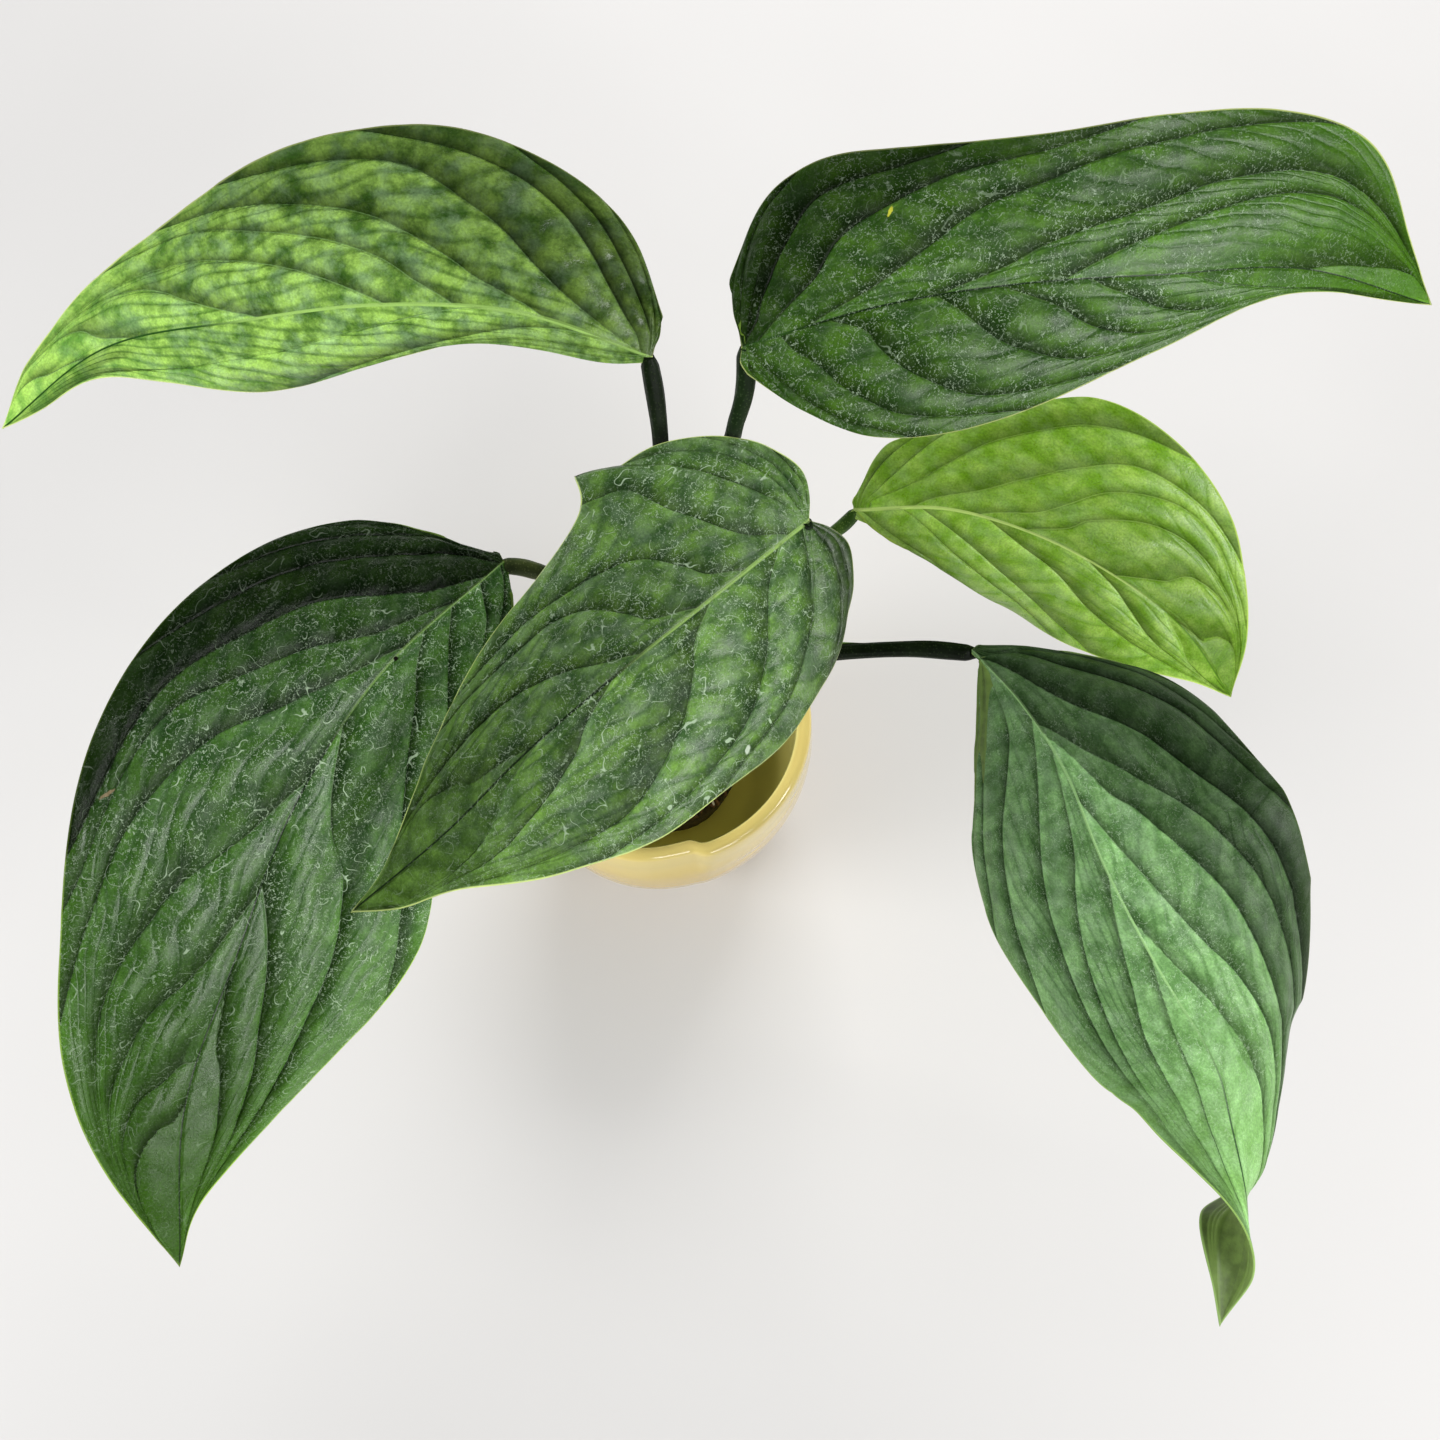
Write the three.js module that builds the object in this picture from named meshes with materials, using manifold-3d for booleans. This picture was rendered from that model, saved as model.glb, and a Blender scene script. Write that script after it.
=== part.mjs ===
// A young climbing Monstera pinnatipartita in a glazed pot, in millimetres, +Z up.
// The origin is the centre of the pot's foot, on the surface that the pot stands on.
// +X is to the right and -Y is towards someone who stands in front of the plant.
import * as THREE from 'three';
import { mergeVertices } from 'three/addons/utils/BufferGeometryUtils.js';
import Module from 'manifold-3d';

const wasm = await Module();
wasm.setup();

const v3 = (x, y, z) => new THREE.Vector3(x, y, z);
const UP = v3(0, 0, 1);
const DEG = Math.PI / 180;

// Clear gap that touching pieces keep between them
const GAP = 0.3;

// Shortest edge that a cut may leave
const SLIVER = 0.06;

// The pot: a rounded, slightly oval bowl of glazed stoneware. Its wall is made of two
// broad petals, and each petal's end tucks in behind its neighbour at a notch in the rim.
const POT = {
  outer: [[38, 0], [50, 12], [63, 36], [70.2, 62], [71, 80], [70, 98]],
  inner: [[26, 8.5], [44, 17], [56, 38], [62.8, 60], [64, 80], [62, 100]],
  floor: 7.5,
  footRound: 1.2,
  lipRadius: 65.7,
  lipRound: 3.6,
  lipAngles: [20, 55, 90, 125, 160],
  rim: 110,
  belly: 75,
  petalFrom: 72,
  petalTo: 106,
  evenInside: 12,
  fullOutside: 40,
  notch: -74,
  tuckAt: 5,
  tuckSteep: 4,
  tuckSoft: 19,
  tuckDepth: { belly: 0.9, rim: 4 },
  tuckDip: 2,
  ovalAt: 63,
  oval: { belly: 2.6, rim: 1.5 },
  sides: 60,
  levels: 8,
};

// The potting mix: radius and height of the root ball's side, its top, and room for the stem
const MIX = {
  ball: [[25.4, 9.1], [30, 22], [33.5, 38], [35.5, 48], [33.5, 52.5], [20, 56]],
  crown: 56,
  holeGap: 0.5,
};

// The stem: a short leaning climber's stem with a swelling at each leaf
const STEM = {
  path: [[0, 0, 30], [0, 0, 44], [0, 0, 60], [2, 3, 92], [6, 11, 135], [10, 17, 172], [12, 19, 196]],
  radius: 6.5,
  tipRadius: 1.6,
  tipFrom: 0.88,
  swelling: 0.9,
  swellingRun: 5,
  plainTo: 66,
  sides: 14,
  steps: 30,
};

// Petioles: a slight swelling, the knee, just below each blade
const PETIOLE = { knee: 0.5, kneeAt: 0.93, kneeRun: 0.06, clearAbove: 3.5, sides: 10, steps: 16 };

// A sheath's wing is highest before the middle of its run
const SHEATH = { lean: 0.7 };

// Leaf blades. The net that spans each half runs from the midrib to the margin in rows;
// shares of a row's run give its columns, and the second column marks the keel's edge.
const BLADE = {
  thickness: 0.8,
  rows: 24,
  shares: [0, 0.12, 0.25, 0.5, 0.75, 1],
  veinSlant: 0.8,
  veinForward: 0.35,
  veinOut: 0.62,
  bendSteps: 16,
  panels: 8,
  relief: 1.3,
  reliefFull: 20,
  reliefStretch: 1.15,
  ripples: 3.5,
  rippleFull: 30,
  keel: 1.3,
  keelHalf: 2.6,
  keelFrom: 2,
  keelTo: 12,
  sinus: 1.5,
  lobe: [[0.7, 0.2], [1, 0.45], [0.62, 0.76]],
};

// Stations along a blade, as shares of its length, where its half-widths are given.
// The first is the base itself, where the petiole is joined.
const STATIONS = [0, 0.06, 0.14, 0.26, 0.4, 0.55, 0.7, 0.82, 0.92];

// The six leaves, numbered from the one over the front of the pot. For each:
// midrib    points that the midrib runs through, from the petiole to the drip tip
// lobes     how far the basal lobes reach back behind the petiole, left and right
// left      half-widths at the stations, left of the midrib as seen from the petiole
// right     half-widths at the stations, right of it
// roll      turn of the blade about its midrib at base, middle and tip, left side up, degrees
// fold      rise of each half from the midrib at base, middle and tip, degrees
// curl      how much each half bends up (or droops) in each 10 mm outwards, degrees
// spike     a narrow drawn-out point on the right margin: place, height and width
// crease    a lengthwise bend in the left half: distance from the midrib, width, angle
// twist     a turn of the tip about the midrib between two shares of the length
// petiole   points from the stem to the blade's base
// radius    the petiole's radius at the stem and at the blade
// sheath    the wing left on the petiole: its run, height and direction
// wave      height of the margin's gentle waves
const LEAVES = [
  {
    midrib: [[56, 10, 292], [23, -24, 302], [-8, -52, 303], [-38, -77, 296], [-67, -102, 282],
      [-101, -124, 262]],
    lobes: [12, 11],
    left: [38, 49, 54, 58, 55, 51, 37, 18, 10],
    right: [36, 48, 57, 57, 55, 54, 36, 20, 5],
    roll: [-29, 0, 4],
    fold: { left: [-4, -9, -3], right: [1, -13, -7] },
    curl: { left: [-4.9, -5.2, -3.9], right: [-3.2, -3.6, -3.5] },
    spike: { at: 49, height: 14, width: 5 },
    petiole: [[11, 18, 179], [20, 13, 200], [36, 8, 238], [51, 8, 273], [56, 10, 291]],
    radius: [4.2, 2.7],
    wave: 0.5,
  },
  {
    midrib: [[34, 53, 336], [78, 57, 352], [122, 61, 358], [169, 67, 355], [222, 78, 344],
      [276, 80, 322]],
    lobes: [2, 3],
    left: [26, 44, 50, 46, 44, 48, 48, 41, 19],
    right: [11, 27, 41, 45, 40, 26, 12, 6, 3],
    roll: [13, 30, 37],
    fold: { left: [5, 11, 2], right: [-7, -13, -15] },
    curl: { left: [-1.6, 0.6, -2.5], right: [-4.3, -4.1, -4.1] },
    petiole: [[9, 16, 163], [15, 25, 182], [19, 29, 215], [25, 34, 265], [30, 39, 303], [34, 46, 321],
      [34, 52.5, 334]],
    radius: [4.2, 2.9],
    wave: 1.0,
  },
  {
    midrib: [[1, 55, 328], [-42, 62, 342], [-89, 65, 342], [-138, 66, 332], [-194, 69, 312],
      [-244, 56, 280]],
    lobes: [2, 2],
    left: [3, 9, 12, 15, 24, 29, 18, 7, 4],
    right: [16, 36, 48, 57, 55, 44, 29, 16, 10],
    roll: [-20, -27, -20],
    fold: { left: [-39, -34, -15], right: [1, 7, 5] },
    curl: { left: [-5.5, -7.0, -4.0], right: [-2.4, -1.2, -2.0] },
    petiole: [[8, 14, 149], [0, 21, 167], [-1, 27, 215], [3, 35, 268], [4, 40, 296], [3, 47, 312],
      [1, 54.5, 326]],
    radius: [4.2, 2.9],
    wave: 0.8,
  },
  {
    midrib: [[83, 58, 214], [118, 52, 226], [152, 40, 228], [184, 25, 222], [216, 7, 208],
      [242, -15, 184]],
    lobes: [2, 4],
    left: [7, 25, 31, 43, 58, 56, 45, 28, 15],
    right: [4, 10, 22, 34, 47, 51, 38, 25, 9],
    roll: [22, 35, 21],
    fold: { left: [3, 6, 3], right: [-12, -27, -4] },
    curl: { left: [-2.3, -1.7, -2.8], right: [-5.3, -6.0, -4.3] },
    petiole: [[6, 11, 137], [22, 22, 158], [48, 38, 186], [70, 51, 200], [78, 55, 206], [82.5, 57.5, 212]],
    radius: [3.8, 2.5],
    wave: 0.6,
  },
  {
    midrib: [[-58, 12, 256], [-96, -37, 268], [-123, -87, 266], [-142, -137, 252], [-163, -186, 226],
      [-171, -239, 190]],
    lobes: [2, 3],
    left: [4, 24, 40, 53, 61, 68, 48, 32, 7],
    right: [8, 43, 59, 68, 69, 60, 47, 30, 14],
    roll: [-11, -33, -25],
    fold: { left: [-12, -8, -6], right: [-8, 4, 2] },
    curl: { left: [-3.8, -1.6, -4.2], right: [-2.2, -0.9, -1.8] },
    petiole: [[4, 8, 122], [-9, 8, 152], [-24, 10, 205], [-36, 12, 238], [-48, 12, 251], [-57.5, 12, 254]],
    radius: [4.2, 2.9],
    wave: 1.2,
  },
  {
    midrib: [[121, -22, 250], [135, -46, 259], [148, -73, 262], [160, -107, 258], [178, -140, 247],
      [194, -170, 244], [200, -191, 238], [202, -226, 236], [196, -257, 215]],
    lobes: [2, 2],
    left: [6, 30, 56, 66, 70, 65, 46, 25, 10],
    right: [1, 3, 24, 56, 63, 46, 30, 11, 5],
    roll: [6, 10, -56],
    fold: { left: [-12, 2, -48], right: [-34, -28, 0] },
    curl: { left: [-1.8, 2.0, -1.0], right: [-4.0, -4.8, -1.0] },
    crease: { at: [10, 28, 4], width: 8, angle: [-16, -33, -54] },
    twist: { angle: -92, from: 0.775, to: 0.935 },
    petiole: [[2, 4, 105], [20, -1, 150], [44, -8, 205], [72, -14, 230], [100, -18, 243],
      [120, -21.5, 247.5]],
    radius: [4.4, 2.9],
    sheath: { from: 0.42, to: 0.78, height: 3.6, towards: [0, 0.85, 0.53] },
    wave: 1.0,
  },
];

// Colours of the blades in order, and of the other pieces
const COLOURS = {
  leaf: ['#2f5a2c', '#356b2e', '#4c8a2a', '#86b53a', '#2c5a2a', '#3a6d34'],
  petiole: '#3f6136',
  stem: '#5c6f3e',
  mix: '#3a2a20',
  pot: '#efdc8e',
};

// A finished mesh with its own material, roughness and name
function piece(name, geometry, colour, roughness) {
  const plain = new THREE.BufferGeometry();
  plain.setAttribute('position', geometry.getAttribute('position'));
  plain.setIndex(geometry.index);
  plain.computeVertexNormals();
  const material = new THREE.MeshStandardMaterial({ color: colour, roughness, metalness: 0 });
  const mesh = new THREE.Mesh(plain, material);
  mesh.name = name;
  return mesh;
}

// Geometry from a list of Vector3 and a list of triangle corners, with equal points joined
// and flat triangles left out. A sheet also keeps the depth of its keel at each point.
function geometryOf(points, triangles, keels) {
  const g = new THREE.BufferGeometry();
  g.setAttribute('position', new THREE.Float32BufferAttribute(points.flatMap((p) => p.toArray()), 3));
  if (keels) {
    g.setAttribute('keel', new THREE.Float32BufferAttribute(keels, 1));
  }
  g.setIndex(triangles);
  const merged = mergeVertices(g, 1e-4);
  const kept = [];
  const ix = merged.index.array;
  for (let i = 0; i < ix.length; i += 3) {
    const [a, b, c] = [ix[i], ix[i + 1], ix[i + 2]];
    if (a !== b && b !== c && c !== a) {
      kept.push(a, b, c);
    }
  }
  merged.setIndex(kept);
  return merged;
}

function toSolid(geometry) {
  return new wasm.Manifold(new wasm.Mesh({
    numProp: 3,
    vertProperties: new Float32Array(geometry.getAttribute('position').array),
    triVerts: new Uint32Array(geometry.index.array),
  }));
}

// The mesh of a cut solid. Cuts leave slivers, so points nearer than SLIVER are joined
// along the edges between them, and triangles that then lie back to back are left out.
function fromSolid(solid) {
  const mesh = solid.getMesh();
  const ix = Array.from(mesh.triVerts);
  const points = [];
  for (let i = 0; i < mesh.vertProperties.length; i += 3) {
    points.push(v3(...mesh.vertProperties.slice(i, i + 3)));
  }
  for (let pass = 0; pass < 4; pass += 1) {
    for (let i = 0; i < ix.length; i += 1) {
      const [a, b] = [points[ix[i]], points[ix[i % 3 === 2 ? i - 2 : i + 1]]];
      if (a.distanceTo(b) < SLIVER) {
        b.copy(a);
      }
    }
  }
  const joined = geometryOf(points, ix);
  const corners = joined.index.array;
  const faces = new Map();
  for (let i = 0; i < corners.length; i += 3) {
    const face = [corners[i], corners[i + 1], corners[i + 2]];
    const key = [...face].sort((a, b) => a - b).join();
    if (!faces.delete(key)) {
      faces.set(key, face);
    }
  }
  joined.setIndex([...faces.values()].flat());
  return mergeVertices(joined.toNonIndexed(), 1e-4);
}

// A smooth run through three values at base, middle and tip
function along(values, share) {
  const curve = new THREE.CatmullRomCurve3(values.map((v) => v3(v, 0, 0)), false, 'catmullrom', 0.5);
  return curve.getPoint(THREE.MathUtils.clamp(share, 0, 1)).x;
}

const curveThrough = (points) => {
  const curve = new THREE.CatmullRomCurve3(points.map((p) => v3(...p)), false, 'catmullrom', 0.5);
  curve.arcLengthDivisions = 400;
  return curve;
};

// How far a sheath's wing stands out of its petiole at a share of the petiole's length
function ridgeHeight(sheath, share) {
  const run = THREE.MathUtils.clamp((share - sheath.from) / (sheath.to - sheath.from), 0, 1);
  return sheath.height * Math.sin(Math.PI * run ** SHEATH.lean);
}

// A round rod along a curve, its radius a function of the share of its length. Where a
// ridge is given, the first line of points follows its direction and stands out by it.
function rod(curve, radiusAt, sides, steps, ridge) {
  const frames = curve.computeFrenetFrames(steps, false);
  const points = [];
  const triangles = [];
  for (let i = 0; i <= steps; i += 1) {
    const centre = curve.getPointAt(i / steps);
    const across = frames.normals[i].clone();
    if (ridge) {
      across.set(...ridge.towards).projectOnPlane(frames.tangents[i]).normalize();
    }
    const beside = v3().crossVectors(frames.tangents[i], across);
    for (let j = 0; j < sides; j += 1) {
      const a = (j / sides) * 2 * Math.PI;
      let r = radiusAt(i / steps);
      if (ridge && j === 0) {
        r += ridgeHeight(ridge, i / steps);
      }
      points.push(centre.clone()
        .addScaledVector(across, r * Math.cos(a))
        .addScaledVector(beside, r * Math.sin(a)));
    }
  }
  const ring = (i, j) => i * sides + (j % sides);
  for (let i = 0; i < steps; i += 1) {
    for (let j = 0; j < sides; j += 1) {
      triangles.push(ring(i, j), ring(i, j + 1), ring(i + 1, j + 1));
      triangles.push(ring(i, j), ring(i + 1, j + 1), ring(i + 1, j));
    }
  }
  points.push(curve.getPointAt(0), curve.getPointAt(1));
  const [first, last] = [points.length - 2, points.length - 1];
  for (let j = 0; j < sides; j += 1) {
    triangles.push(first, ring(0, j + 1), ring(0, j));
    triangles.push(last, ring(steps, j), ring(steps, j + 1));
  }
  return geometryOf(points, triangles);
}

// The pot's outer and inner wall as profiles: radius in x, height in z
const profileOf = (points) => curveThrough(points.map(([r, z]) => [r, 0, z]));
const OUTER = profileOf(POT.outer);
const INNER = profileOf(POT.inner);

// How far the wall stands out from its round profile at a height and an angle in degrees
function bulge(z, degrees) {
  const round = POT.notch - degrees;
  const half = ((round % 180) + 180) % 180;
  const off = half > 90 ? half - 180 - POT.tuckAt : half - POT.tuckAt;
  const tuck = Math.exp(-((off / (off < 0 ? POT.tuckSteep : POT.tuckSoft)) ** 2));
  const oval = Math.cos(2 * (half - POT.ovalAt) * DEG);
  const low = THREE.MathUtils.smoothstep(z, 0, POT.belly);
  const high = THREE.MathUtils.smoothstep(z, POT.petalFrom, POT.petalTo);
  const mix = (sizes) => sizes.belly * low * (1 - high) + sizes.rim * high;
  return { out: oval * mix(POT.oval) - tuck * mix(POT.tuckDepth), dip: tuck * high * POT.tuckDip };
}

// A closed body turned about the z axis from a profile that starts and ends on the axis,
// pushed out or in by the bulge of the pot's wall
function turned(profile) {
  const points = [];
  const triangles = [];
  for (let j = 0; j < POT.sides; j += 1) {
    const degrees = POT.notch - (j / POT.sides) * 360;
    for (const p of profile) {
      const { out, dip } = bulge(p.z, degrees);
      const r = p.x + out * THREE.MathUtils.smoothstep(p.x, POT.evenInside, POT.fullOutside);
      points.push(v3(r * Math.cos(degrees * DEG), r * Math.sin(degrees * DEG), p.z - dip));
    }
  }
  const at = (j, i) => (j % POT.sides) * profile.length + i;
  for (let j = 0; j < POT.sides; j += 1) {
    for (let i = 0; i < profile.length - 1; i += 1) {
      triangles.push(at(j, i), at(j, i + 1), at(j + 1, i + 1));
      triangles.push(at(j, i), at(j + 1, i + 1), at(j + 1, i));
    }
  }
  return geometryOf(points, triangles);
}

function potGeometry() {
  const profile = [v3(0, 0, 0), v3(POT.outer[0][0] - POT.footRound, 0, 0)];
  for (let i = 0; i <= POT.levels; i += 1) {
    const p = OUTER.getPointAt(i / POT.levels);
    profile.push(v3(p.x, 0, Math.max(p.z, POT.footRound)));
  }
  for (const a of POT.lipAngles) {
    const across = Math.cos(a * DEG) * POT.lipRound;
    profile.push(v3(POT.lipRadius + across, 0, POT.rim - POT.lipRound * (1 - Math.sin(a * DEG))));
  }
  for (let i = POT.levels; i >= 0; i -= 1) {
    profile.push(INNER.getPointAt(i / POT.levels));
  }
  profile.push(v3(0, 0, POT.floor));
  return turned(profile);
}

// The potting mix is a root ball that stands in the middle of the bowl and leaves the wall
// round it bare, with a plain hole for the stem
function mixGeometry() {
  const hole = STEM.radius + MIX.holeGap;
  const bottom = STEM.path[0][2] - MIX.holeGap;
  return turned([
    v3(0, 0, POT.floor + 2 * GAP),
    ...MIX.ball.map(([r, z]) => v3(r, 0, z)),
    v3(hole, 0, MIX.crown),
    v3(hole, 0, bottom),
    v3(0, 0, bottom),
  ]);
}

// A blade laid out flat: its margin from the notch behind the petiole, round the basal
// lobe and on to the drip tip, x along the midrib and y out from it
function marginOf(leaf, side, length) {
  const widths = side > 0 ? leaf.left : leaf.right;
  const back = side > 0 ? leaf.lobes[0] : leaf.lobes[1];
  const outline = [[-BLADE.sinus, 0, 0]];
  BLADE.lobe.forEach(([reach, out]) => outline.push([-reach * back, out * widths[0], 0]));
  STATIONS.forEach((share, i) => outline.push([share * length, widths[i], 0]));
  outline.push([length, 0, 0]);
  return curveThrough(outline);
}

function bladeShape(leaf) {
  const midrib = curveThrough(leaf.midrib);
  const length = midrib.getLength();

  // Place on the midrib, with the directions along it, to the left and out of the upper face
  function frameAt(x) {
    const share = THREE.MathUtils.clamp(x / length, 0, 1);
    const tangent = midrib.getTangentAt(share);
    const place = midrib.getPointAt(share).addScaledVector(tangent, x - share * length);
    const left = v3().crossVectors(UP, tangent).normalize();
    const out = v3().crossVectors(tangent, left);
    let turn = along(leaf.roll, share);
    if (leaf.twist) {
      turn += leaf.twist.angle * THREE.MathUtils.smoothstep(share, leaf.twist.from, leaf.twist.to);
    }
    const [c, s] = [Math.cos(turn * DEG), Math.sin(turn * DEG)];
    return {
      place,
      share,
      left: left.clone().multiplyScalar(c).addScaledVector(out, s),
      out: out.clone().multiplyScalar(c).addScaledVector(left, -s),
    };
  }

  // A point of the bent blade: x along the midrib, y out from it, lift off the sheet
  function bent(x, y, side, lift) {
    const frame = frameAt(x);
    const name = side > 0 ? 'left' : 'right';
    const start = along(leaf.fold[name], frame.share) * DEG;
    const bend = (along(leaf.curl[name], frame.share) * DEG) / 10;
    const steps = BLADE.bendSteps;
    let [across, rise] = [0, 0];
    for (let i = 0; i < steps; i += 1) {
      const t = ((i + 0.5) / steps) * y;
      let angle = start + bend * t;
      if (leaf.crease && side > 0) {
        const over = (t - along(leaf.crease.at, frame.share)) / leaf.crease.width;
        const turn = along(leaf.crease.angle, frame.share) * DEG;
        angle += turn * THREE.MathUtils.clamp(over, 0, 1);
      }
      across += (Math.cos(angle) * y) / steps;
      rise += (Math.sin(angle) * y) / steps;
    }
    return frame.place.addScaledVector(frame.left, side * across).addScaledVector(frame.out, rise + lift);
  }
  return { length, bent };
}

// The sheet of one blade: for each half a net whose rows follow the side veins, which
// leave the midrib, arch forward and end on the margin. Panels swell up between veins,
// and the midrib stands out below as a keel.
function bladeSheet(leaf) {
  const { length, bent } = bladeShape(leaf);
  const margins = new Map([1, -1].map((side) => [side, marginOf(leaf, side, length)]));
  const points = [];
  const keels = [];
  const triangles = [];
  const columns = BLADE.shares.length;
  for (const side of [1, -1]) {
    const first = points.length;
    for (let i = 0; i <= BLADE.rows; i += 1) {
      const share = i / BLADE.rows;
      const slants = [1, -1].map((s) => {
        const p = margins.get(s).getPointAt(share);
        return p.x - BLADE.veinSlant * Math.max(p.y, 0);
      });
      const start = THREE.MathUtils.clamp((slants[0] + slants[1]) / 2, 0, length);
      const end = margins.get(side).getPointAt(share);
      end.y = Math.max(end.y, 0);
      if (leaf.spike && side < 0 && end.x > 1) {
        end.y += leaf.spike.height * Math.exp(-Math.abs(end.x - leaf.spike.at) / leaf.spike.width);
      }
      const panel = Math.abs(Math.sin(Math.PI * BLADE.panels * share));
      const ripple = Math.sin(2 * Math.PI * BLADE.ripples * share + leaf.midrib[0][2]);
      const keelShare = BLADE.keelHalf / (2 * BLADE.veinOut * Math.max(end.y, 1));
      const run = THREE.MathUtils.smoothstep(start, BLADE.keelFrom, BLADE.keelTo);
      for (let j = 0; j < columns; j += 1) {
        const c = j === 1 ? Math.min(keelShare, BLADE.shares[1]) : BLADE.shares[j];
        const x = start + (end.x - start) * (2 * c * (1 - c) * BLADE.veinForward + c * c);
        const y = end.y * (2 * c * (1 - c) * BLADE.veinOut + c * c);
        const arch = Math.sin(Math.PI * Math.min(c * BLADE.reliefStretch, 1));
        const swell = BLADE.relief * panel * arch * Math.min(y / BLADE.reliefFull, 1);
        const wave = leaf.wave * ripple * c ** 3 * Math.min(end.y / BLADE.rippleFull, 1);
        points.push(bent(x, y, side, swell + wave));
        keels.push(j === 0 ? BLADE.keel * run * Math.sqrt(1 - start / length) : 0);
      }
    }
    const at = (i, j) => first + i * columns + j;
    for (let i = 0; i < BLADE.rows; i += 1) {
      for (let j = 0; j < columns - 1; j += 1) {
        const quad = [at(i, j), at(i, j + 1), at(i + 1, j + 1), at(i + 1, j)];
        if (side > 0) {
          quad.reverse();
        }
        triangles.push(quad[0], quad[1], quad[2], quad[0], quad[2], quad[3]);
      }
    }
  }
  return geometryOf(points, triangles, keels);
}

// A closed solid from a sheet: an upper and a lower face alike, set off by their distances
// from the sheet, the lower one also down by the keel, and a rim round the margin
function thicken(sheet, above, below) {
  sheet.computeVertexNormals();
  const position = sheet.getAttribute('position');
  const normal = sheet.getAttribute('normal');
  const keel = sheet.getAttribute('keel');
  const index = Array.from(sheet.index.array);
  const count = position.count;
  const points = [];
  for (const face of [1, -1]) {
    for (let i = 0; i < count; i += 1) {
      const out = new THREE.Vector3().fromBufferAttribute(normal, i);
      const p = new THREE.Vector3().fromBufferAttribute(position, i);
      points.push(p.addScaledVector(out, face > 0 ? above : -below - keel.getX(i)));
    }
  }
  const triangles = [...index];
  const edges = new Map();
  for (let i = 0; i < index.length; i += 3) {
    const [a, b, c] = [index[i], index[i + 1], index[i + 2]];
    triangles.push(a + count, c + count, b + count);
    for (const [p, q] of [[a, b], [b, c], [c, a]]) {
      if (edges.has(`${q},${p}`)) {
        edges.delete(`${q},${p}`);
      } else {
        edges.set(`${p},${q}`, [p, q]);
      }
    }
  }
  for (const [p, q] of edges.values()) {
    triangles.push(q, p, p + count);
    triangles.push(q, p + count, q + count);
  }
  return geometryOf(points, triangles);
}

const stemCurve = curveThrough(STEM.path);

// The stem's radius: plain in the mix, swollen where each petiole clasps it, pointed bud on top
function stemRadius(share) {
  const z = stemCurve.getPointAt(share).z;
  let r = STEM.radius;
  for (const leaf of LEAVES) {
    r += STEM.swelling * Math.exp(-(((z - leaf.petiole[0][2]) / STEM.swellingRun) ** 2));
  }
  if (z < STEM.plainTo) {
    r = STEM.radius;
  }
  const taper = THREE.MathUtils.clamp((share - STEM.tipFrom) / (1 - STEM.tipFrom), 0, 1);
  return r + (STEM.tipRadius - r) * taper ** 1.5;
}

const plant = new THREE.Group();
plant.add(piece('pot', potGeometry(), COLOURS.pot, 0.25));
plant.add(piece('potting_mix', mixGeometry(), COLOURS.mix, 0.95));
plant.add(piece('stem', rod(stemCurve, stemRadius, STEM.sides, STEM.steps), COLOURS.stem, 0.6));

// What a petiole must stay clear of where it clasps the stem
const stemRoom = toSolid(rod(stemCurve, (s) => stemRadius(s) + GAP, STEM.sides, STEM.steps));

LEAVES.forEach((leaf, i) => {
  const name = `leaf_${i + 1}`;
  const sheet = bladeSheet(leaf);
  const half = BLADE.thickness / 2;
  plant.add(piece(`${name}_blade`, thicken(sheet, half, half), COLOURS.leaf[i], 0.45));

  const path = curveThrough(leaf.petiole);
  const [thick, thin] = leaf.radius;
  const radiusAt = (share) => {
    const knee = Math.exp(-(((share - PETIOLE.kneeAt) / PETIOLE.kneeRun) ** 2));
    return thin + (thick - thin) * (1 - share) ** 2 + PETIOLE.knee * knee;
  };
  const stalk = toSolid(rod(path, radiusAt, PETIOLE.sides, PETIOLE.steps, leaf.sheath));
  // The stalk ends below the blade, so all that is above or just beside the blade goes too
  let cut = stalk.subtract(stemRoom);
  for (const [x, y] of [[2, 0], [-2, 0], [0, 2], [0, -2]]) {
    const room = thicken(sheet, PETIOLE.clearAbove, half + GAP).translate(x * GAP, y * GAP, 0);
    cut = cut.subtract(toSolid(room));
  }
  plant.add(piece(`${name}_petiole`, fromSolid(cut), COLOURS.petiole, 0.5));
});

export default plant;
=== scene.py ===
import math

import bpy
import numpy as np
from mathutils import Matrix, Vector


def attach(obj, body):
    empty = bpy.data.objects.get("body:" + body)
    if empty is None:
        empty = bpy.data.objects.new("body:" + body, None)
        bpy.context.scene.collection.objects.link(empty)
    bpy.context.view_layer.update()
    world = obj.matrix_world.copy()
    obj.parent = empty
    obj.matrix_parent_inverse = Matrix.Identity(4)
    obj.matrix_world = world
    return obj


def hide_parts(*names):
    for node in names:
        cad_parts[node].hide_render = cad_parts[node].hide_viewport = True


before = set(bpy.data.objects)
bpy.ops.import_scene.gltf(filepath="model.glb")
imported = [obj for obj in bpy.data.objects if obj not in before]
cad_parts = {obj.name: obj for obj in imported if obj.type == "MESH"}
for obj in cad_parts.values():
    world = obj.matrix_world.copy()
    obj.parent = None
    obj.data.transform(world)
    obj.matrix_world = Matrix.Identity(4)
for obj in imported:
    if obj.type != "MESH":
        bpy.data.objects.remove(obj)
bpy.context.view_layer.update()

MM = 0.001
# Millimetres of flat blade to one unit of its UV map
FLAT_UNIT = 100
# Sine waves in one field of smooth noise
WAVES = 9


# Curves and small helpers

def smoothstep(x, low, high):
    """0 below low, 1 above high, and the cubic 3t^2 - 2t^3 between them"""
    t = np.clip((x - low) / (high - low), 0, 1)
    return t * t * (3 - 2 * t)


def bell(x, width):
    """exp(-(x / width)^2): 1 at nought, fading to nothing a few widths away"""
    return np.exp(-(x / width) ** 2)


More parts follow.
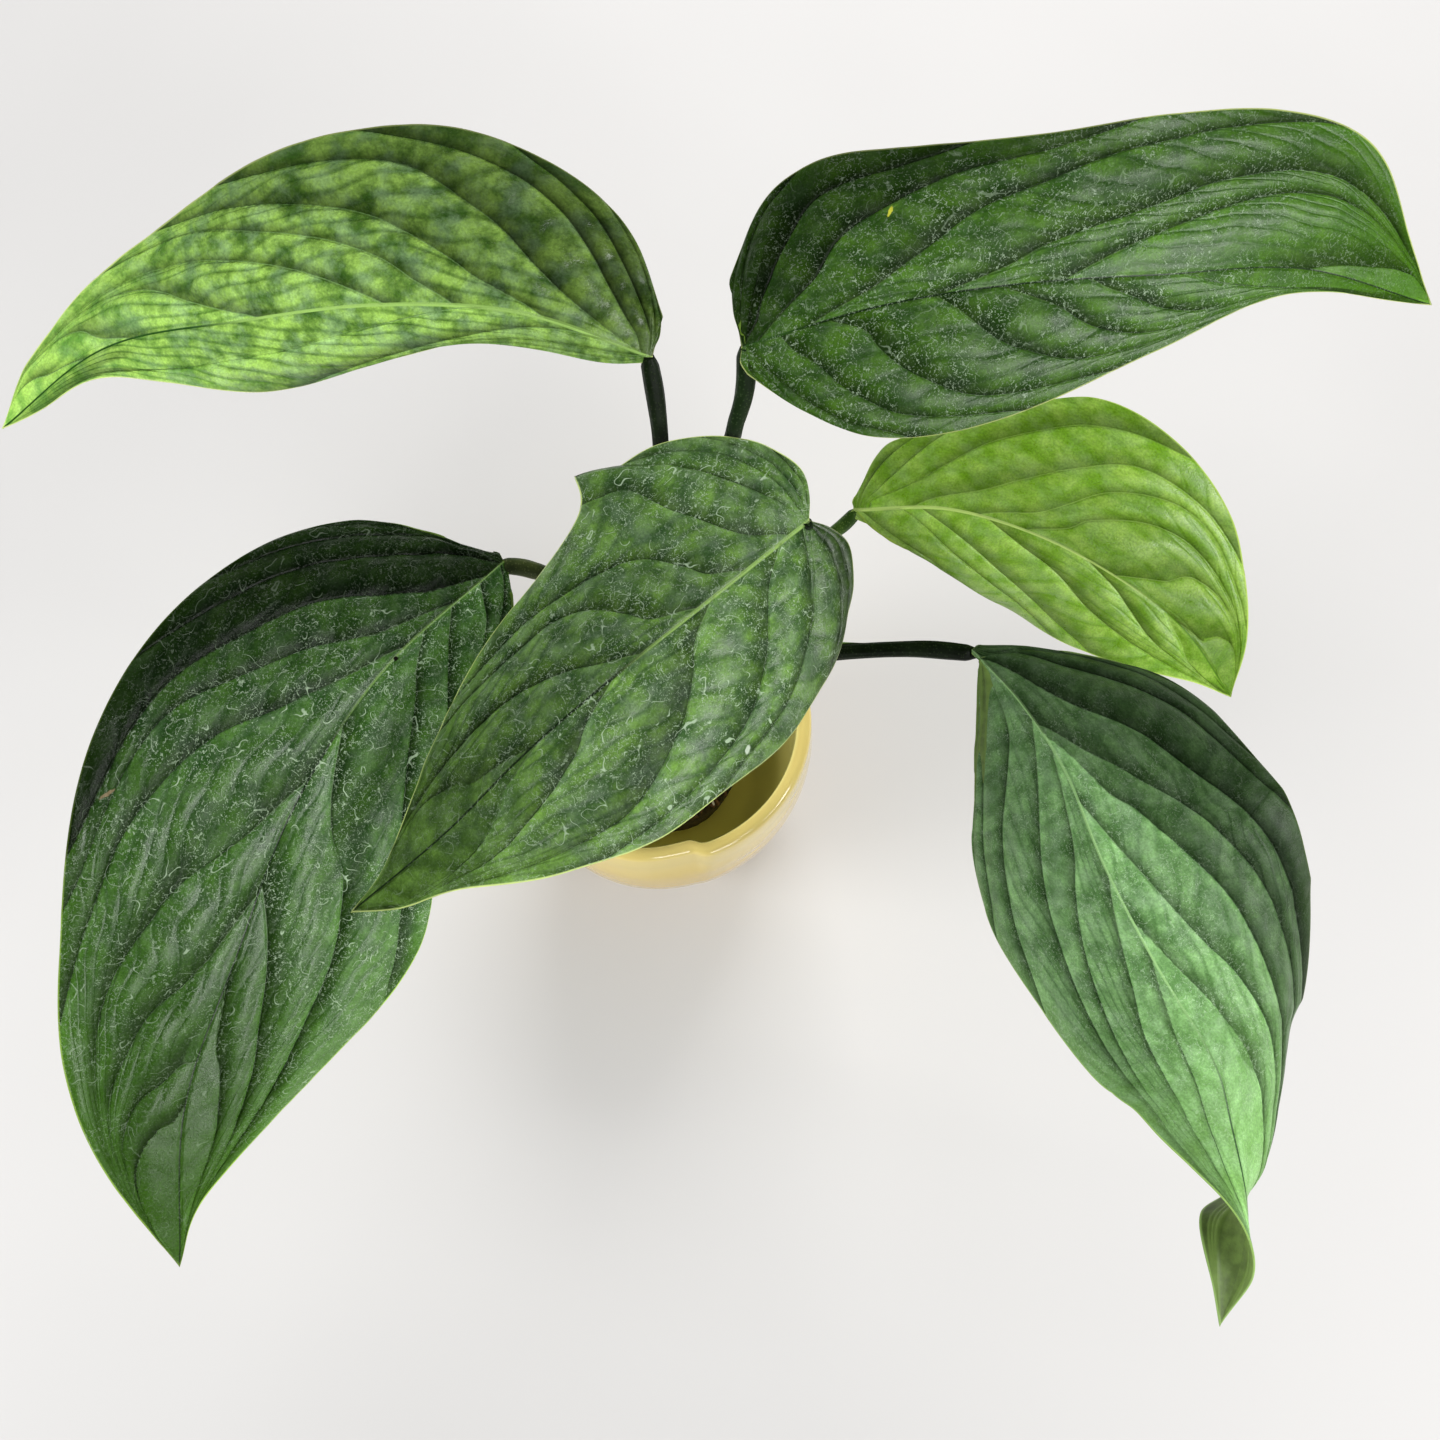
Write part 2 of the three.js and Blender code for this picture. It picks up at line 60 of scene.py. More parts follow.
def unit(v):
    """Each vector over its own length"""
    return v / np.maximum(np.linalg.norm(v, axis=-1, keepdims=True), 1e-12)


class Curve:
    """A Catmull-Rom curve through some points: on each span a cubic whose slope at a point is
    half the step between its two neighbours. It is read by the distance along it."""

    def __init__(self, points, samples=1600):
        p = np.array(points, float)
        p = np.vstack([2 * p[0] - p[1], p, 2 * p[-1] - p[-2]])
        t = np.linspace(0, len(points) - 1, samples + 1)
        k = np.minimum(t.astype(int), len(points) - 2)
        u = (t - k)[:, None]
        a, b, c, d = p[k], p[k + 1], p[k + 2], p[k + 3]
        self.places = 0.5 * (2 * b + (c - a) * u + (2 * a - 5 * b + 4 * c - d) * u ** 2
                             + (3 * b - a - 3 * c + d) * u ** 3)
        steps = np.linalg.norm(np.diff(self.places, axis=0), axis=1)
        self.run = np.concatenate([[0], np.cumsum(steps)])
        self.length = self.run[-1]
        self.slopes = unit(np.gradient(self.places, axis=0))

    def read(self, table, distance):
        """The table's rows, one for each sample, read at distances along the curve"""
        columns = [np.interp(distance, self.run, table[:, k]) for k in range(table.shape[1])]
        return np.stack(columns, axis=-1)

    def place(self, distance):
        return self.read(self.places, distance)

    def tangent(self, distance):
        return unit(self.read(self.slopes, distance))


def along(values, share):
    """A smooth run through three values at base, middle and tip of a blade"""
    curve = Curve([[v] for v in values], 200)
    return np.interp(share, np.linspace(0, 1, 201), curve.places[:, 0])


def ripples(x, y, wavelength, seed):
    """Smooth noise between about -1 and 1: a sum of sine waves in seeded directions"""
    dice = np.random.default_rng(seed)
    total = np.zeros(np.broadcast(x, y).shape)
    for _ in range(WAVES):
        turn, phase = dice.uniform(0, 2 * math.pi, 2)
        step = 2 * math.pi / (wavelength * dice.uniform(0.7, 1.5))
        total += np.sin(step * (x * math.cos(turn) + y * math.sin(turn)) + phase)
    return total / math.sqrt(WAVES)


# The six leaves, as in the CAD source

# Thickness of a blade in mm, and the share of it that goes at the margin
BLADE_THICKNESS = 0.8
MARGIN_THINS = 0.55
# The outline: depth in mm of the notch at the base, points of the basal lobe as shares of its
# reach and of the first half-width, and the shares of the midrib at which half-widths are given
SINUS = 1.5
LOBE = [(0.7, 0.2), (1, 0.45), (0.62, 0.76)]
STATIONS = [0, 0.06, 0.14, 0.26, 0.4, 0.55, 0.7, 0.82, 0.92]
# How a row of the grid leans forward on its way to the margin, as the veins do
VEIN_SLANT = 0.8
VEIN_FORWARD = 0.35
VEIN_OUT = 0.62
# Short steps that make one bent section, and waves along each margin
BEND_STEPS = 16
RIPPLES = 3.5
# Heights in mm of what stands out of the sheet or is cut into it: the midrib below, the veins
# below, the midrib's groove above, and a line halfway between two veins
KEEL = 1.3
UNDER_RIB = 0.45
GROOVE = 0.25
HALFWAY_LINE = 0.22
# Mm between two veins: the least and the most that count, and where a panel swells in full
SPREAD_LIMITS = (0.5, 45)
FULL_PANEL = 16
FULLEST = 1.15

# Each leaf, in mm and degrees. 1 is the half on the left of the way from base to tip, -1 the
# right one, and three values are for base, middle and tip.
#   midrib, lobes   points from base to tip, and how far each basal lobe reaches back
#   widths          half-widths at the stations
#   roll, twist     lean of the whole blade, and the tip's turn with the shares it runs between
#   fold, curl      lean of a half at the midrib, and its turn in each 10 mm outwards
#   crease          a sharper turn of the left half: how far out, over what width, how much
#   spike           the point that stands out at a tear in the right margin
#   wave            height of the margin's waves
#   petiole, radius points from stem to blade, and the radius at both ends
#   sheath          a thin ridge on the petiole: shares it runs between, height and direction
LEAVES = [
    dict(
        midrib=[(56, 10, 292), (23, -24, 302), (-8, -52, 303), (-38, -77, 296), (-67, -102, 282),
                (-101, -124, 262)],
        lobes=(12, 11),
        widths={1: (38, 49, 54, 58, 55, 51, 37, 18, 10), -1: (36, 48, 57, 57, 55, 54, 36, 20, 5)},
        roll=(-29, 0, 4),
        fold={1: (-4, -9, -3), -1: (1, -13, -7)},
        curl={1: (-4.9, -5.2, -3.9), -1: (-3.2, -3.6, -3.5)},
        spike=dict(at=49, height=14, width=5),
        petiole=[(11, 18, 179), (20, 13, 200), (36, 8, 238), (51, 8, 273), (56, 10, 291)],
        radius=(4.2, 2.7),
        wave=0.5,
    ),
    dict(
        midrib=[(34, 53, 336), (78, 57, 352), (122, 61, 358), (169, 67, 355), (222, 78, 344),
                (276, 80, 322)],
        lobes=(2, 3),
        widths={1: (26, 44, 50, 46, 44, 48, 48, 41, 19), -1: (11, 27, 41, 45, 40, 26, 12, 6, 3)},
        roll=(13, 30, 37),
        fold={1: (5, 11, 2), -1: (-7, -13, -15)},
        curl={1: (-1.6, 0.6, -2.5), -1: (-4.3, -4.1, -4.1)},
        petiole=[(9, 16, 163), (15, 25, 182), (19, 29, 215), (25, 34, 265), (30, 39, 303),
                 (34, 46, 321), (34, 52.5, 334)],
        radius=(4.2, 2.9),
        wave=1.0,
    ),
    dict(
        midrib=[(1, 55, 328), (-42, 62, 342), (-89, 65, 342), (-138, 66, 332), (-194, 69, 312),
                (-244, 56, 280)],
        lobes=(2, 2),
        widths={1: (3, 9, 12, 15, 24, 29, 18, 7, 4), -1: (16, 36, 48, 57, 55, 44, 29, 16, 10)},
        roll=(-20, -27, -20),
        fold={1: (-39, -34, -15), -1: (1, 7, 5)},
        curl={1: (-5.5, -7.0, -4.0), -1: (-2.4, -1.2, -2.0)},
        petiole=[(8, 14, 149), (0, 21, 167), (-1, 27, 215), (3, 35, 268), (4, 40, 296),
                 (3, 47, 312), (1, 54.5, 326)],
        radius=(4.2, 2.9),
        wave=0.8,
    ),
    dict(
        midrib=[(83, 58, 214), (118, 52, 226), (152, 40, 228), (184, 25, 222), (216, 7, 208),
                (242, -15, 184)],
        lobes=(2, 4),
        widths={1: (7, 25, 31, 43, 58, 56, 45, 28, 15), -1: (4, 10, 22, 34, 47, 51, 38, 25, 9)},
        roll=(22, 35, 21),
        fold={1: (3, 6, 3), -1: (-12, -27, -4)},
        curl={1: (-2.3, -1.7, -2.8), -1: (-5.3, -6.0, -4.3)},
        petiole=[(6, 11, 137), (22, 22, 158), (48, 38, 186), (70, 51, 200), (78, 55, 206),
                 (82.5, 57.5, 212)],
        radius=(3.8, 2.5),
        wave=0.6,
    ),
    dict(
        midrib=[(-58, 12, 256), (-96, -37, 268), (-123, -87, 266), (-142, -137, 252),
                (-163, -186, 226), (-171, -239, 190)],
        lobes=(2, 3),
        widths={1: (4, 24, 40, 53, 61, 68, 48, 32, 7), -1: (8, 43, 59, 68, 69, 60, 47, 30, 14)},
        roll=(-11, -33, -25),
        fold={1: (-12, -8, -6), -1: (-8, 4, 2)},
        curl={1: (-3.8, -1.6, -4.2), -1: (-2.2, -0.9, -1.8)},
        petiole=[(4, 8, 122), (-9, 8, 152), (-24, 10, 205), (-36, 12, 238), (-48, 12, 251),
                 (-57.5, 12, 254)],
        radius=(4.2, 2.9),
        wave=1.2,
    ),
    dict(
        midrib=[(121, -22, 250), (135, -46, 259), (148, -73, 262), (160, -107, 258),
                (178, -140, 247), (194, -170, 244), (200, -191, 238), (202, -226, 236),
                (196, -257, 215)],
        lobes=(2, 2),
        widths={1: (6, 30, 56, 66, 70, 65, 46, 25, 10), -1: (1, 3, 24, 56, 63, 46, 30, 11, 5)},
        roll=(6, 10, -56),
        fold={1: (-12, 2, -48), -1: (-34, -28, 0)},
        curl={1: (-1.8, 2.0, -1.0), -1: (-4.0, -4.8, -1.0)},
        crease=dict(at=(10, 28, 4), width=8, angle=(-16, -33, -54)),
        twist=(-92, 0.775, 0.935),
        petiole=[(2, 4, 105), (20, -1, 150), (44, -8, 205), (72, -14, 230), (100, -18, 243),
                 (120, -21.5, 247.5)],
        radius=(4.4, 2.9),
        sheath=dict(start=0.42, end=0.78, height=3.6, towards=(0, 0.85, 0.53)),
        wave=1.0,
    ),
]

# Fineness of each half blade, and what of its grid the materials read
ROWS = 280
COLUMNS = 54
FIELDS = ("panel", "spread", "ladder", "margin", "share", "edge", "shade_and_tone", "low_side")

# Main veins of each half blade. A line is drawn at each share VEIN_AT of the way from midrib to
# margin, and the vein's numbers say how far along that line it crosses, in hundredths.
VEIN_AT = (0.03, 0.12, 0.25, 0.5, 0.75, 0.92)
VEINS = [
    {1: [(4, 8, 10, 13, 18, 24), (35, 35, 35, 35, 39, 47), (40, 42, 43, 45, 49, 64),
         (52, 55, 56, 59, 65, 82), (66, 69, 71, 77, 83, 91), (75, 79, 80, 83, 87, 93)],
     -1: [(14, 14, 15, 19, 25, 29), (33, 33, 34, 34, 33, 34), (38, 40, 41, 40, 37, 37.5),
          (46, 48, 48, 49, 59, 67), (54, 57, 57, 58, 66, 72), (62, 64, 66, 71, 81, 88),
          (76, 78, 81, 82, 85, 91)]},
    {1: [(3, 6, 9, 12, 16, 20), (23, 24, 24, 25, 27, 36), (25, 27, 30, 32, 39, 51),
         (32, 37, 40, 45, 56, 72), (46, 51, 56, 69, 86, 97), (58, 61, 66, 79, 92, 102),
         (85, 88, 91, 94, 97, 106)],
     -1: [(22, 22, 22, 22, 22, 25), (27, 27, 28, 28, 30, 39), (33, 35, 35, 36, 40, 51),
          (44, 45, 46, 48, 53, 65), (51, 53, 55, 57, 62, 70), (60, 61, 63, 65, 69, 77),
          (70, 71, 72, 75, 79, 86)]},
    {1: [(11, 12, 15, 20, 27, 34), (22, 25, 28, 33, 40, 48), (40, 44, 50, 63, 73, 89)],
     -1: [(10, 10, 11, 16, 21, 26), (13, 14, 18, 23, 29, 39), (16, 24, 30, 35, 41, 54),
          (31, 37, 41, 48, 57, 66), (42, 45, 48, 56, 64, 73), (50, 53, 57, 65, 79, 90),
          (64, 67, 70, 74, 82, 93), (79, 81, 82, 83, 87, 95), (85, 87, 90, 92, 95, 99)]},
    {1: [(15, 15, 15, 16, 18, 21), (17, 17, 20, 26, 29, 32), (19, 20, 36, 44, 49, 56),
         (38, 48, 52, 56, 61, 73), (53, 58, 60, 62, 68, 84), (60, 63, 64, 69, 81, 98),
         (74, 76, 78, 79, 86, 100), (86, 89, 89, 89, 92, 102)],
     -1: [(16, 17, 18, 21, 25, 28), (31, 34, 38, 46, 53, 58), (39, 43, 48, 55, 61, 67),
          (54, 58, 64, 71, 85, 97), (70, 74, 77, 83, 95, 105), (83, 84, 87, 90, 97, 107)]},
    {1: [(20, 20, 21, 25, 29, 31), (25, 25, 25, 28, 32, 35), (31, 32, 33, 35, 39, 43),
         (36, 38, 40, 47, 54, 60), (51, 55, 58, 63, 79, 96), (66, 68, 72, 79, 88, 98),
         (75, 79, 81, 87, 97, 105)],
     -1: [(20, 21, 22, 28, 34, 39), (25, 30, 33, 38, 44, 53), (32, 38, 41, 45, 49, 58),
          (40, 45, 48, 52, 57, 68), (57, 60, 62, 65, 74, 91), (67, 70, 73, 77, 82, 94),
          (81, 81, 82, 83, 87, 96), (85, 86, 86, 87, 90, 98)]},
    {1: [(5, 13, 26, 30, 34, 42), (24, 34, 39, 42, 49, 63), (41, 44, 46, 50, 61, 72),
         (43, 48, 51, 61, 82, 100), (51, 56, 63, 72, 90, 103), (63, 68, 73, 81, 94, 106)],
     -1: [(26, 35, 38, 42, 48, 53), (40, 43, 47, 54, 64, 83), (45, 52, 55, 61, 70, 88),
          (58, 61, 65, 71, 89, 101), (66, 69, 73, 87, 104, 112)]},
]
# Before the first vein there are spare ones a step apart; beyond the last, the panel runs on
SPARE_STEP = 0.09
SPARE_BEFORE = 4
PAST_TIP = 1.5
LEAST_GAP = 0.008

# Painted shade and light of each panel between two veins, from base to tip: how bright its tissue
# is drawn, darker where the panel faces away from the light and brighter where it faces it, on top
# of the tissue's own tone
PANEL_SHADE_AND_TONE = [
    {1: (0.62, 0.95, 1.1, 1.1, 1.02, 0.92, 0.82),
     -1: (1.0, 1.0, 1.0, 0.95, 0.88, 0.85, 0.8, 0.78)},
    {1: (0.5, 0.5, 0.62, 0.85, 0.95, 1, 1.05, 1.05),
     -1: (0.8, 0.85, 0.9, 0.92, 0.95, 1, 1.05, 1.05)},
    {1: (0.9, 0.95, 1.05, 1.1),
     -1: (0.5, 0.52, 0.65, 0.8, 0.95, 1, 1.05, 1.1, 1.1, 1.1)},
    {1: (0.75, 0.8, 0.88, 0.95, 1, 0.95, 0.92, 0.9, 0.85),
     -1: (0.8, 0.95, 1.1, 1.1, 1.05, 1, 1)},
    {1: (0.95, 1.1, 1.3, 1.3, 1.2, 1.1, 0.95, 0.9),
     -1: (0.45, 0.45, 0.8, 0.92, 1, 1, 0.95, 0.85, 0.85)},
    {1: (0.5, 0.55, 0.72, 0.82, 1.2, 1.35, 1.45), -1: (1.02, 1.06, 1.1, 1.15, 1.3, 1.4)},
]

# On which side of its veins each half lies lower and takes painted shade, the other side taking
# painted light: 1 towards the base, 0 the tip
LOW_SIDE = [{1: 0, -1: 1}, {1: 1, -1: 0}, {1: 0, -1: 1}, {1: 1, -1: 0}, {1: 1, -1: 1},
            {1: 1, -1: 1}]

# Relief of each upper face in mm: main panels, cells between cross veins, the pitch of these
# veins, and a fine crinkle
RELIEF = [
    dict(panel=1.6, cell=0.55, pitch=12, crinkle=0.35),
    dict(panel=1.7, cell=0.5, pitch=13, crinkle=0.3),
    dict(panel=2.3, cell=0.9, pitch=13, crinkle=0.3),
    dict(panel=2.1, cell=0.5, pitch=15, crinkle=0.2),
    dict(panel=2.0, cell=0.55, pitch=14, crinkle=0.4),
    dict(panel=1.7, cell=0.4, pitch=14, crinkle=0.2),
]


def margin_of(leaf, side, length):
    """The flat outline of one half: from the notch behind the petiole, round the basal lobe,
    through the half-widths at the stations and on to the drip tip"""
    widths = leaf["widths"][side]
    back = leaf["lobes"][0 if side > 0 else 1]
    points = [(-SINUS, 0)]
    points += [(-reach * back, out * widths[0]) for reach, out in LOBE]
    points += [(share * length, width) for share, width in zip(STATIONS, widths)]
    return Curve(points + [(length, 0)])


def bend(leaf, midrib, x, y, side, lift):
    """Where a flat point goes: x along the midrib, y out from it. The half starts at its fold
    angle and turns by its curl in each 10 mm, so its section is the sum of short steps
    (cos angle, sin angle) from the midrib outwards, in a frame that the blade's roll turns."""
    share = np.clip(x / midrib.length, 0, 1)
    tangent = midrib.tangent(share * midrib.length)
    place = midrib.place(share * midrib.length)
    place = place + tangent * (x - share * midrib.length)[..., None]
    left = unit(np.cross([0, 0, 1], tangent))
    out = np.cross(tangent, left)
    turn = along(leaf["roll"], share)
    if "twist" in leaf:
        angle, start, end = leaf["twist"]
        turn = turn + angle * smoothstep(share, start, end)
    c, s = np.cos(np.radians(turn))[..., None], np.sin(np.radians(turn))[..., None]
    left, out = left * c + out * s, out * c - left * s
    fold = np.radians(along(leaf["fold"][side], share))
    curl = np.radians(along(leaf["curl"][side], share)) / 10
    across = np.zeros_like(y)
    rise = np.zeros_like(y)
    for k in range(BEND_STEPS):
        t = (k + 0.5) / BEND_STEPS * y
        angle = fold + curl * t
        if "crease" in leaf and side > 0:
            crease = leaf["crease"]
            over = np.clip((t - along(crease["at"], share)) / crease["width"], 0, 1)
            angle = angle + np.radians(along(crease["angle"], share)) * over
        across += np.cos(angle) * y / BEND_STEPS
        rise += np.sin(angle) * y / BEND_STEPS
    return place + left * (side * across)[..., None] + out * (rise + lift)[..., None]


def gradient_size(field, x, y):
    """Steepness of a field on a bent grid: the grid's own slopes of x, y and the field, solved
    for the slope in the plane"""
    xi, xj = np.gradient(x)
    yi, yj = np.gradient(y)
    fi, fj = np.gradient(field)
    area = xi * yj - xj * yi
    area = np.where(np.abs(area) < 1e-4, 1e-4, area)
    return np.hypot((fi * yj - fj * yi) / area, (fj * xi - fi * xj) / area)


def vein_lines(number, side, c):
    """The margin share of every main vein at each of the columns c, in order from base to tip:
    smooth curves through the listed crossings, with spare ones before the first"""
    lines = []
    for marks in VEINS[number][side]:
        inner = marks[0] - (marks[1] - marks[0]) / 3
        outer = marks[-1] + (marks[-1] - marks[-2]) / 3
        curve = Curve(list(zip([0, *VEIN_AT, 1], [inner, *marks, outer])), 400)
        lines.append(np.interp(c, curve.places[:, 0], curve.places[:, 1] / 100))
    before = [lines[0] - SPARE_STEP * k for k in range(SPARE_BEFORE, 0, -1)]
    lines = np.array(before + lines + [lines[-1] + PAST_TIP])
    for k in range(1, len(lines)):
        lines[k] = np.maximum(lines[k], lines[k - 1] + LEAST_GAP)
    return lines


def half_grid(leaf, length, side, share, c):
    """Flat points x and y of one half: each row leaves the midrib at `start`, leans forward as
    the veins do, and ends on the margin. Each row is a curve of second degree in c."""
    ends = {s: margin_of(leaf, s, length) for s in (1, -1)}
    ends = {s: m.place(share * m.length) for s, m in ends.items()}
    slants = [e[:, 0] - VEIN_SLANT * np.maximum(e[:, 1], 0) for e in ends.values()]
    start = np.clip((slants[0] + slants[1]) / 2, 0, length)
    end_x, end_y = ends[side][:, 0], np.maximum(ends[side][:, 1], 0)
    if "spike" in leaf and side < 0:
        spike = leaf["spike"]
        point = spike["height"] * np.exp(-np.abs(end_x - spike["at"]) / spike["width"])
        end_y = end_y + np.where(end_x > 1, point, 0)
    x = start[:, None] + (end_x - start)[:, None] * (2 * c * (1 - c) * VEIN_FORWARD + c * c)
    y = end_y[:, None] * (2 * c * (1 - c) * VEIN_OUT + c * c)
    return x, y, start


def half_blade(leaf, number, seed, side):
    """One half of a blade as a grid: rows by share of the margin, columns from midrib to margin.
    Main veins are lines where the field `panel`, which counts them from base to tip, is whole.
    Between two veins the sheet swells as sin(pi * panel) to the power 0.8."""
    relief = RELIEF[number]
    midrib = Curve(leaf["midrib"])
    length = midrib.length
    share = np.linspace(0, 1, ROWS + 1)
    c = np.linspace(0, 1, COLUMNS + 1)[None, :]
    x, y, start = half_grid(leaf, length, side, share, c)
    end_x, end_y = x[:, -1:], y[:, -1:]

    lines = vein_lines(number, side, c[0])
    panel = np.stack([np.interp(share, lines[:, j], np.arange(len(lines)))
                      for j in range(COLUMNS + 1)], axis=1)
    panel = panel + 0.03 * ripples(x, y * side, 45, seed + 5) * np.minimum(y / 20, 1)
    spread = np.clip(1 / np.maximum(gradient_size(panel, x, y), 1e-3), *SPREAD_LIMITS)
    nearest = np.abs(panel - np.round(panel))

    origin = np.interp(panel, np.arange(len(lines)), np.interp(lines[:, 0], share, start))
    reach = np.hypot(x - origin, y)
    dice = np.random.default_rng(seed + 11)
    shifts = np.interp(panel, np.arange(30), dice.uniform(0, 1.2, 30))
    ladder = reach / relief["pitch"] + shifts + 0.18 * ripples(x, y * side, 26, seed + 7)
    shades_and_tones = PANEL_SHADE_AND_TONE[number][side]
    first = SPARE_BEFORE - 1
    shade_and_tone = np.array(shades_and_tones)[np.clip(np.floor(panel).astype(int) - first, 0, len(shades_and_tones) - 1)] ** 2

    full = np.minimum(y / 10, 1) * (1 - 0.7 * smoothstep(c, 0.78, 1))
    crown = np.sin(np.pi * nearest) ** 0.8
    crown = crown * np.minimum(spread / FULL_PANEL, FULLEST)
    swell = relief["panel"] * crown
    cell = relief["cell"] * np.abs(np.sin(np.pi * ladder)) ** 0.7 * crown
    between = -HALFWAY_LINE * bell((0.5 - nearest) * spread, 0.9) * smoothstep(spread, 9, 15)
    crinkle = relief["crinkle"] * ripples(x, y * side, 15, seed + 9) * np.minimum(y / 8, 1)
    wave = np.sin(2 * np.pi * RIPPLES * share[:, None] + leaf["midrib"][0][2]) * c ** 3
    wave = leaf["wave"] * wave * np.minimum(end_y / 30, 1)
    lift = full * (swell + cell + between + crinkle) + wave

    keel_run = smoothstep(start, 2, 12) * np.sqrt(np.maximum(1 - start / length, 0))
    keel = KEEL * keel_run[:, None] * bell(y, 1.7)
    ribs = UNDER_RIB * bell(nearest * spread, 0.7) * np.minimum(y / 3, 1)
    ribs = ribs * (1 - smoothstep(c, 0.6, 0.95))
    groove = GROOVE * keel_run[:, None] * bell(y, 0.9)
    return dict(
        sheet=bend(leaf, midrib, x, y, side, lift),
        below=keel + ribs,
        groove=groove,
        edge=0 * x + c,
        panel=panel,
        spread=spread,
        ladder=ladder,
        flat=np.stack([x, y * side], axis=-1),
        margin=np.hypot(x - end_x, y - end_y),
        share=np.clip(x / length, 0, 1),
        shade_and_tone=shade_and_tone,
        low_side=0 * x + LOW_SIDE[number][side],
    )


# Meshes

def merged(places):
    """Index of the first of all points that lie within a thousandth of a millimetre"""
    keys = np.round(places * 1000).astype(np.int64)
    _, first, back = np.unique(keys, axis=0, return_index=True, return_inverse=True)
    return first, back.reshape(-1)


def grid_faces(rows, columns, offset=0, close=False):
    """Quads of a grid of rows x columns points. A closed grid joins its last column to its
    first."""
    last = columns if close else columns - 1
    i, j = np.meshgrid(np.arange(rows - 1), np.arange(last), indexing="ij")
    k = (j + 1) % columns
    here, above = i * columns, (i + 1) * columns
    return np.stack([here + j, here + k, above + k, above + j], -1).reshape(-1, 4) + offset


def tube_faces(rings, sides):
    """Faces of a skin of rings, each end closed by a fan to a middle point. The two middle
    points come after all the rings."""
    k = np.arange(sides)
    after = (k + 1) % sides
    top = (rings - 1) * sides
    none = np.full(sides, -1)
    first, last = np.full(sides, rings * sides), np.full(sides, rings * sides + 1)
    return np.concatenate([grid_faces(rings, sides, close=True),
                           np.stack([first, after, k, none], -1),
                           np.stack([last, top + k, top + after, none], -1)])


def add_object(name, places, faces, material, fields=None, flat=None, slots=None):
    """A smooth mesh object in metres. Faces are quads, with -1 in the last place of a triangle.
    Fields are numbers for each face corner, and flat is a UV pair for each."""
    sizes = np.where(faces[:, 3] < 0, 3, 4)
    corners = faces.reshape(-1)
    keep = corners >= 0
    mesh = bpy.data.meshes.new(name)
    mesh.vertices.add(len(places))
    mesh.vertices.foreach_set("co", (places * MM).astype(np.float32).reshape(-1))
    mesh.loops.add(int(keep.sum()))
    mesh.loops.foreach_set("vertex_index", corners[keep].astype(np.int32))
    mesh.polygons.add(len(faces))
    starts = np.concatenate([[0], np.cumsum(sizes)[:-1]])
    mesh.polygons.foreach_set("loop_start", starts.astype(np.int32))
    mesh.polygons.foreach_set("use_smooth", np.ones(len(faces), bool))
    for made in material if isinstance(material, list) else [material]:
        mesh.materials.append(made)
    if slots is not None:
        mesh.polygons.foreach_set("material_index", slots.astype(np.int32))
    for key, values in (fields or {}).items():
        layer = mesh.attributes.new(key, "FLOAT", "CORNER")
        layer.data.foreach_set("value", values.reshape(-1)[keep].astype(np.float32))
    if flat is not None:
        layer = mesh.uv_layers.new(name="flat")
        layer.data.foreach_set("uv", flat.reshape(-1, 2)[keep].astype(np.float32).reshape(-1))
    mesh.update(calc_edges=True)
    mesh.validate()
    made = bpy.data.objects.new(name, mesh)
    bpy.context.scene.collection.objects.link(made)
    return made


def point_normals(places, faces):
    """Sum of the face normals round each point, made unit length"""
    a, b, c = places[faces[:, 0]], places[faces[:, 1]], places[faces[:, 2]]
    d = places[np.where(faces[:, 3] < 0, faces[:, 2], faces[:, 3])]
    normal = np.cross(c - a, d - b)
    total = np.zeros_like(places)
    for k in range(4):
        real = faces[:, k] >= 0
        np.add.at(total, faces[real, k], normal[real])
    return unit(total)


def trimmed(quads, source):
    """Quads with two corners in one point turn into triangles, with -1 in the last place, and
    those with more go. `source` holds where each corner's fields come from."""
    same = quads == np.roll(quads, -1, axis=1)
    good = same.sum(axis=1) <= 1
    quads, source, same = quads[good], source[good], same[good]
    order = (np.arange(4)[None, :] + np.argmax(same, axis=1)[:, None] + 1) % 4
    quads = np.take_along_axis(quads, order, axis=1)
    source = np.take_along_axis(source, order, axis=1)
    three = same.any(axis=1)
    quads[three, 3] = -1
    source[three, 3] = -1
    return quads, source


def rim_faces(quads, source, n):
    """Quads from each open edge of the sheet to the same edge n points on"""
    pairs = []
    for k in range(4):
        a, b = quads[:, k], quads[:, (k + 1) % 4]
        b = np.where(b < 0, quads[:, 0], b)
        pairs.append(np.stack([a, b, source[:, k]], -1)[a >= 0])
    pairs = np.concatenate(pairs)
    there, back = pairs[:, 0] * n + pairs[:, 1], pairs[:, 1] * n + pairs[:, 0]
    a, b, start = pairs[~np.isin(there, back)].T
    follow = dict(zip(a.tolist(), start.tolist()))
    end = np.array([follow.get(point, own) for point, own in zip(b.tolist(), start.tolist())])
    return np.stack([b, a, a + n, b + n], -1), np.stack([end, start, start, end], -1)


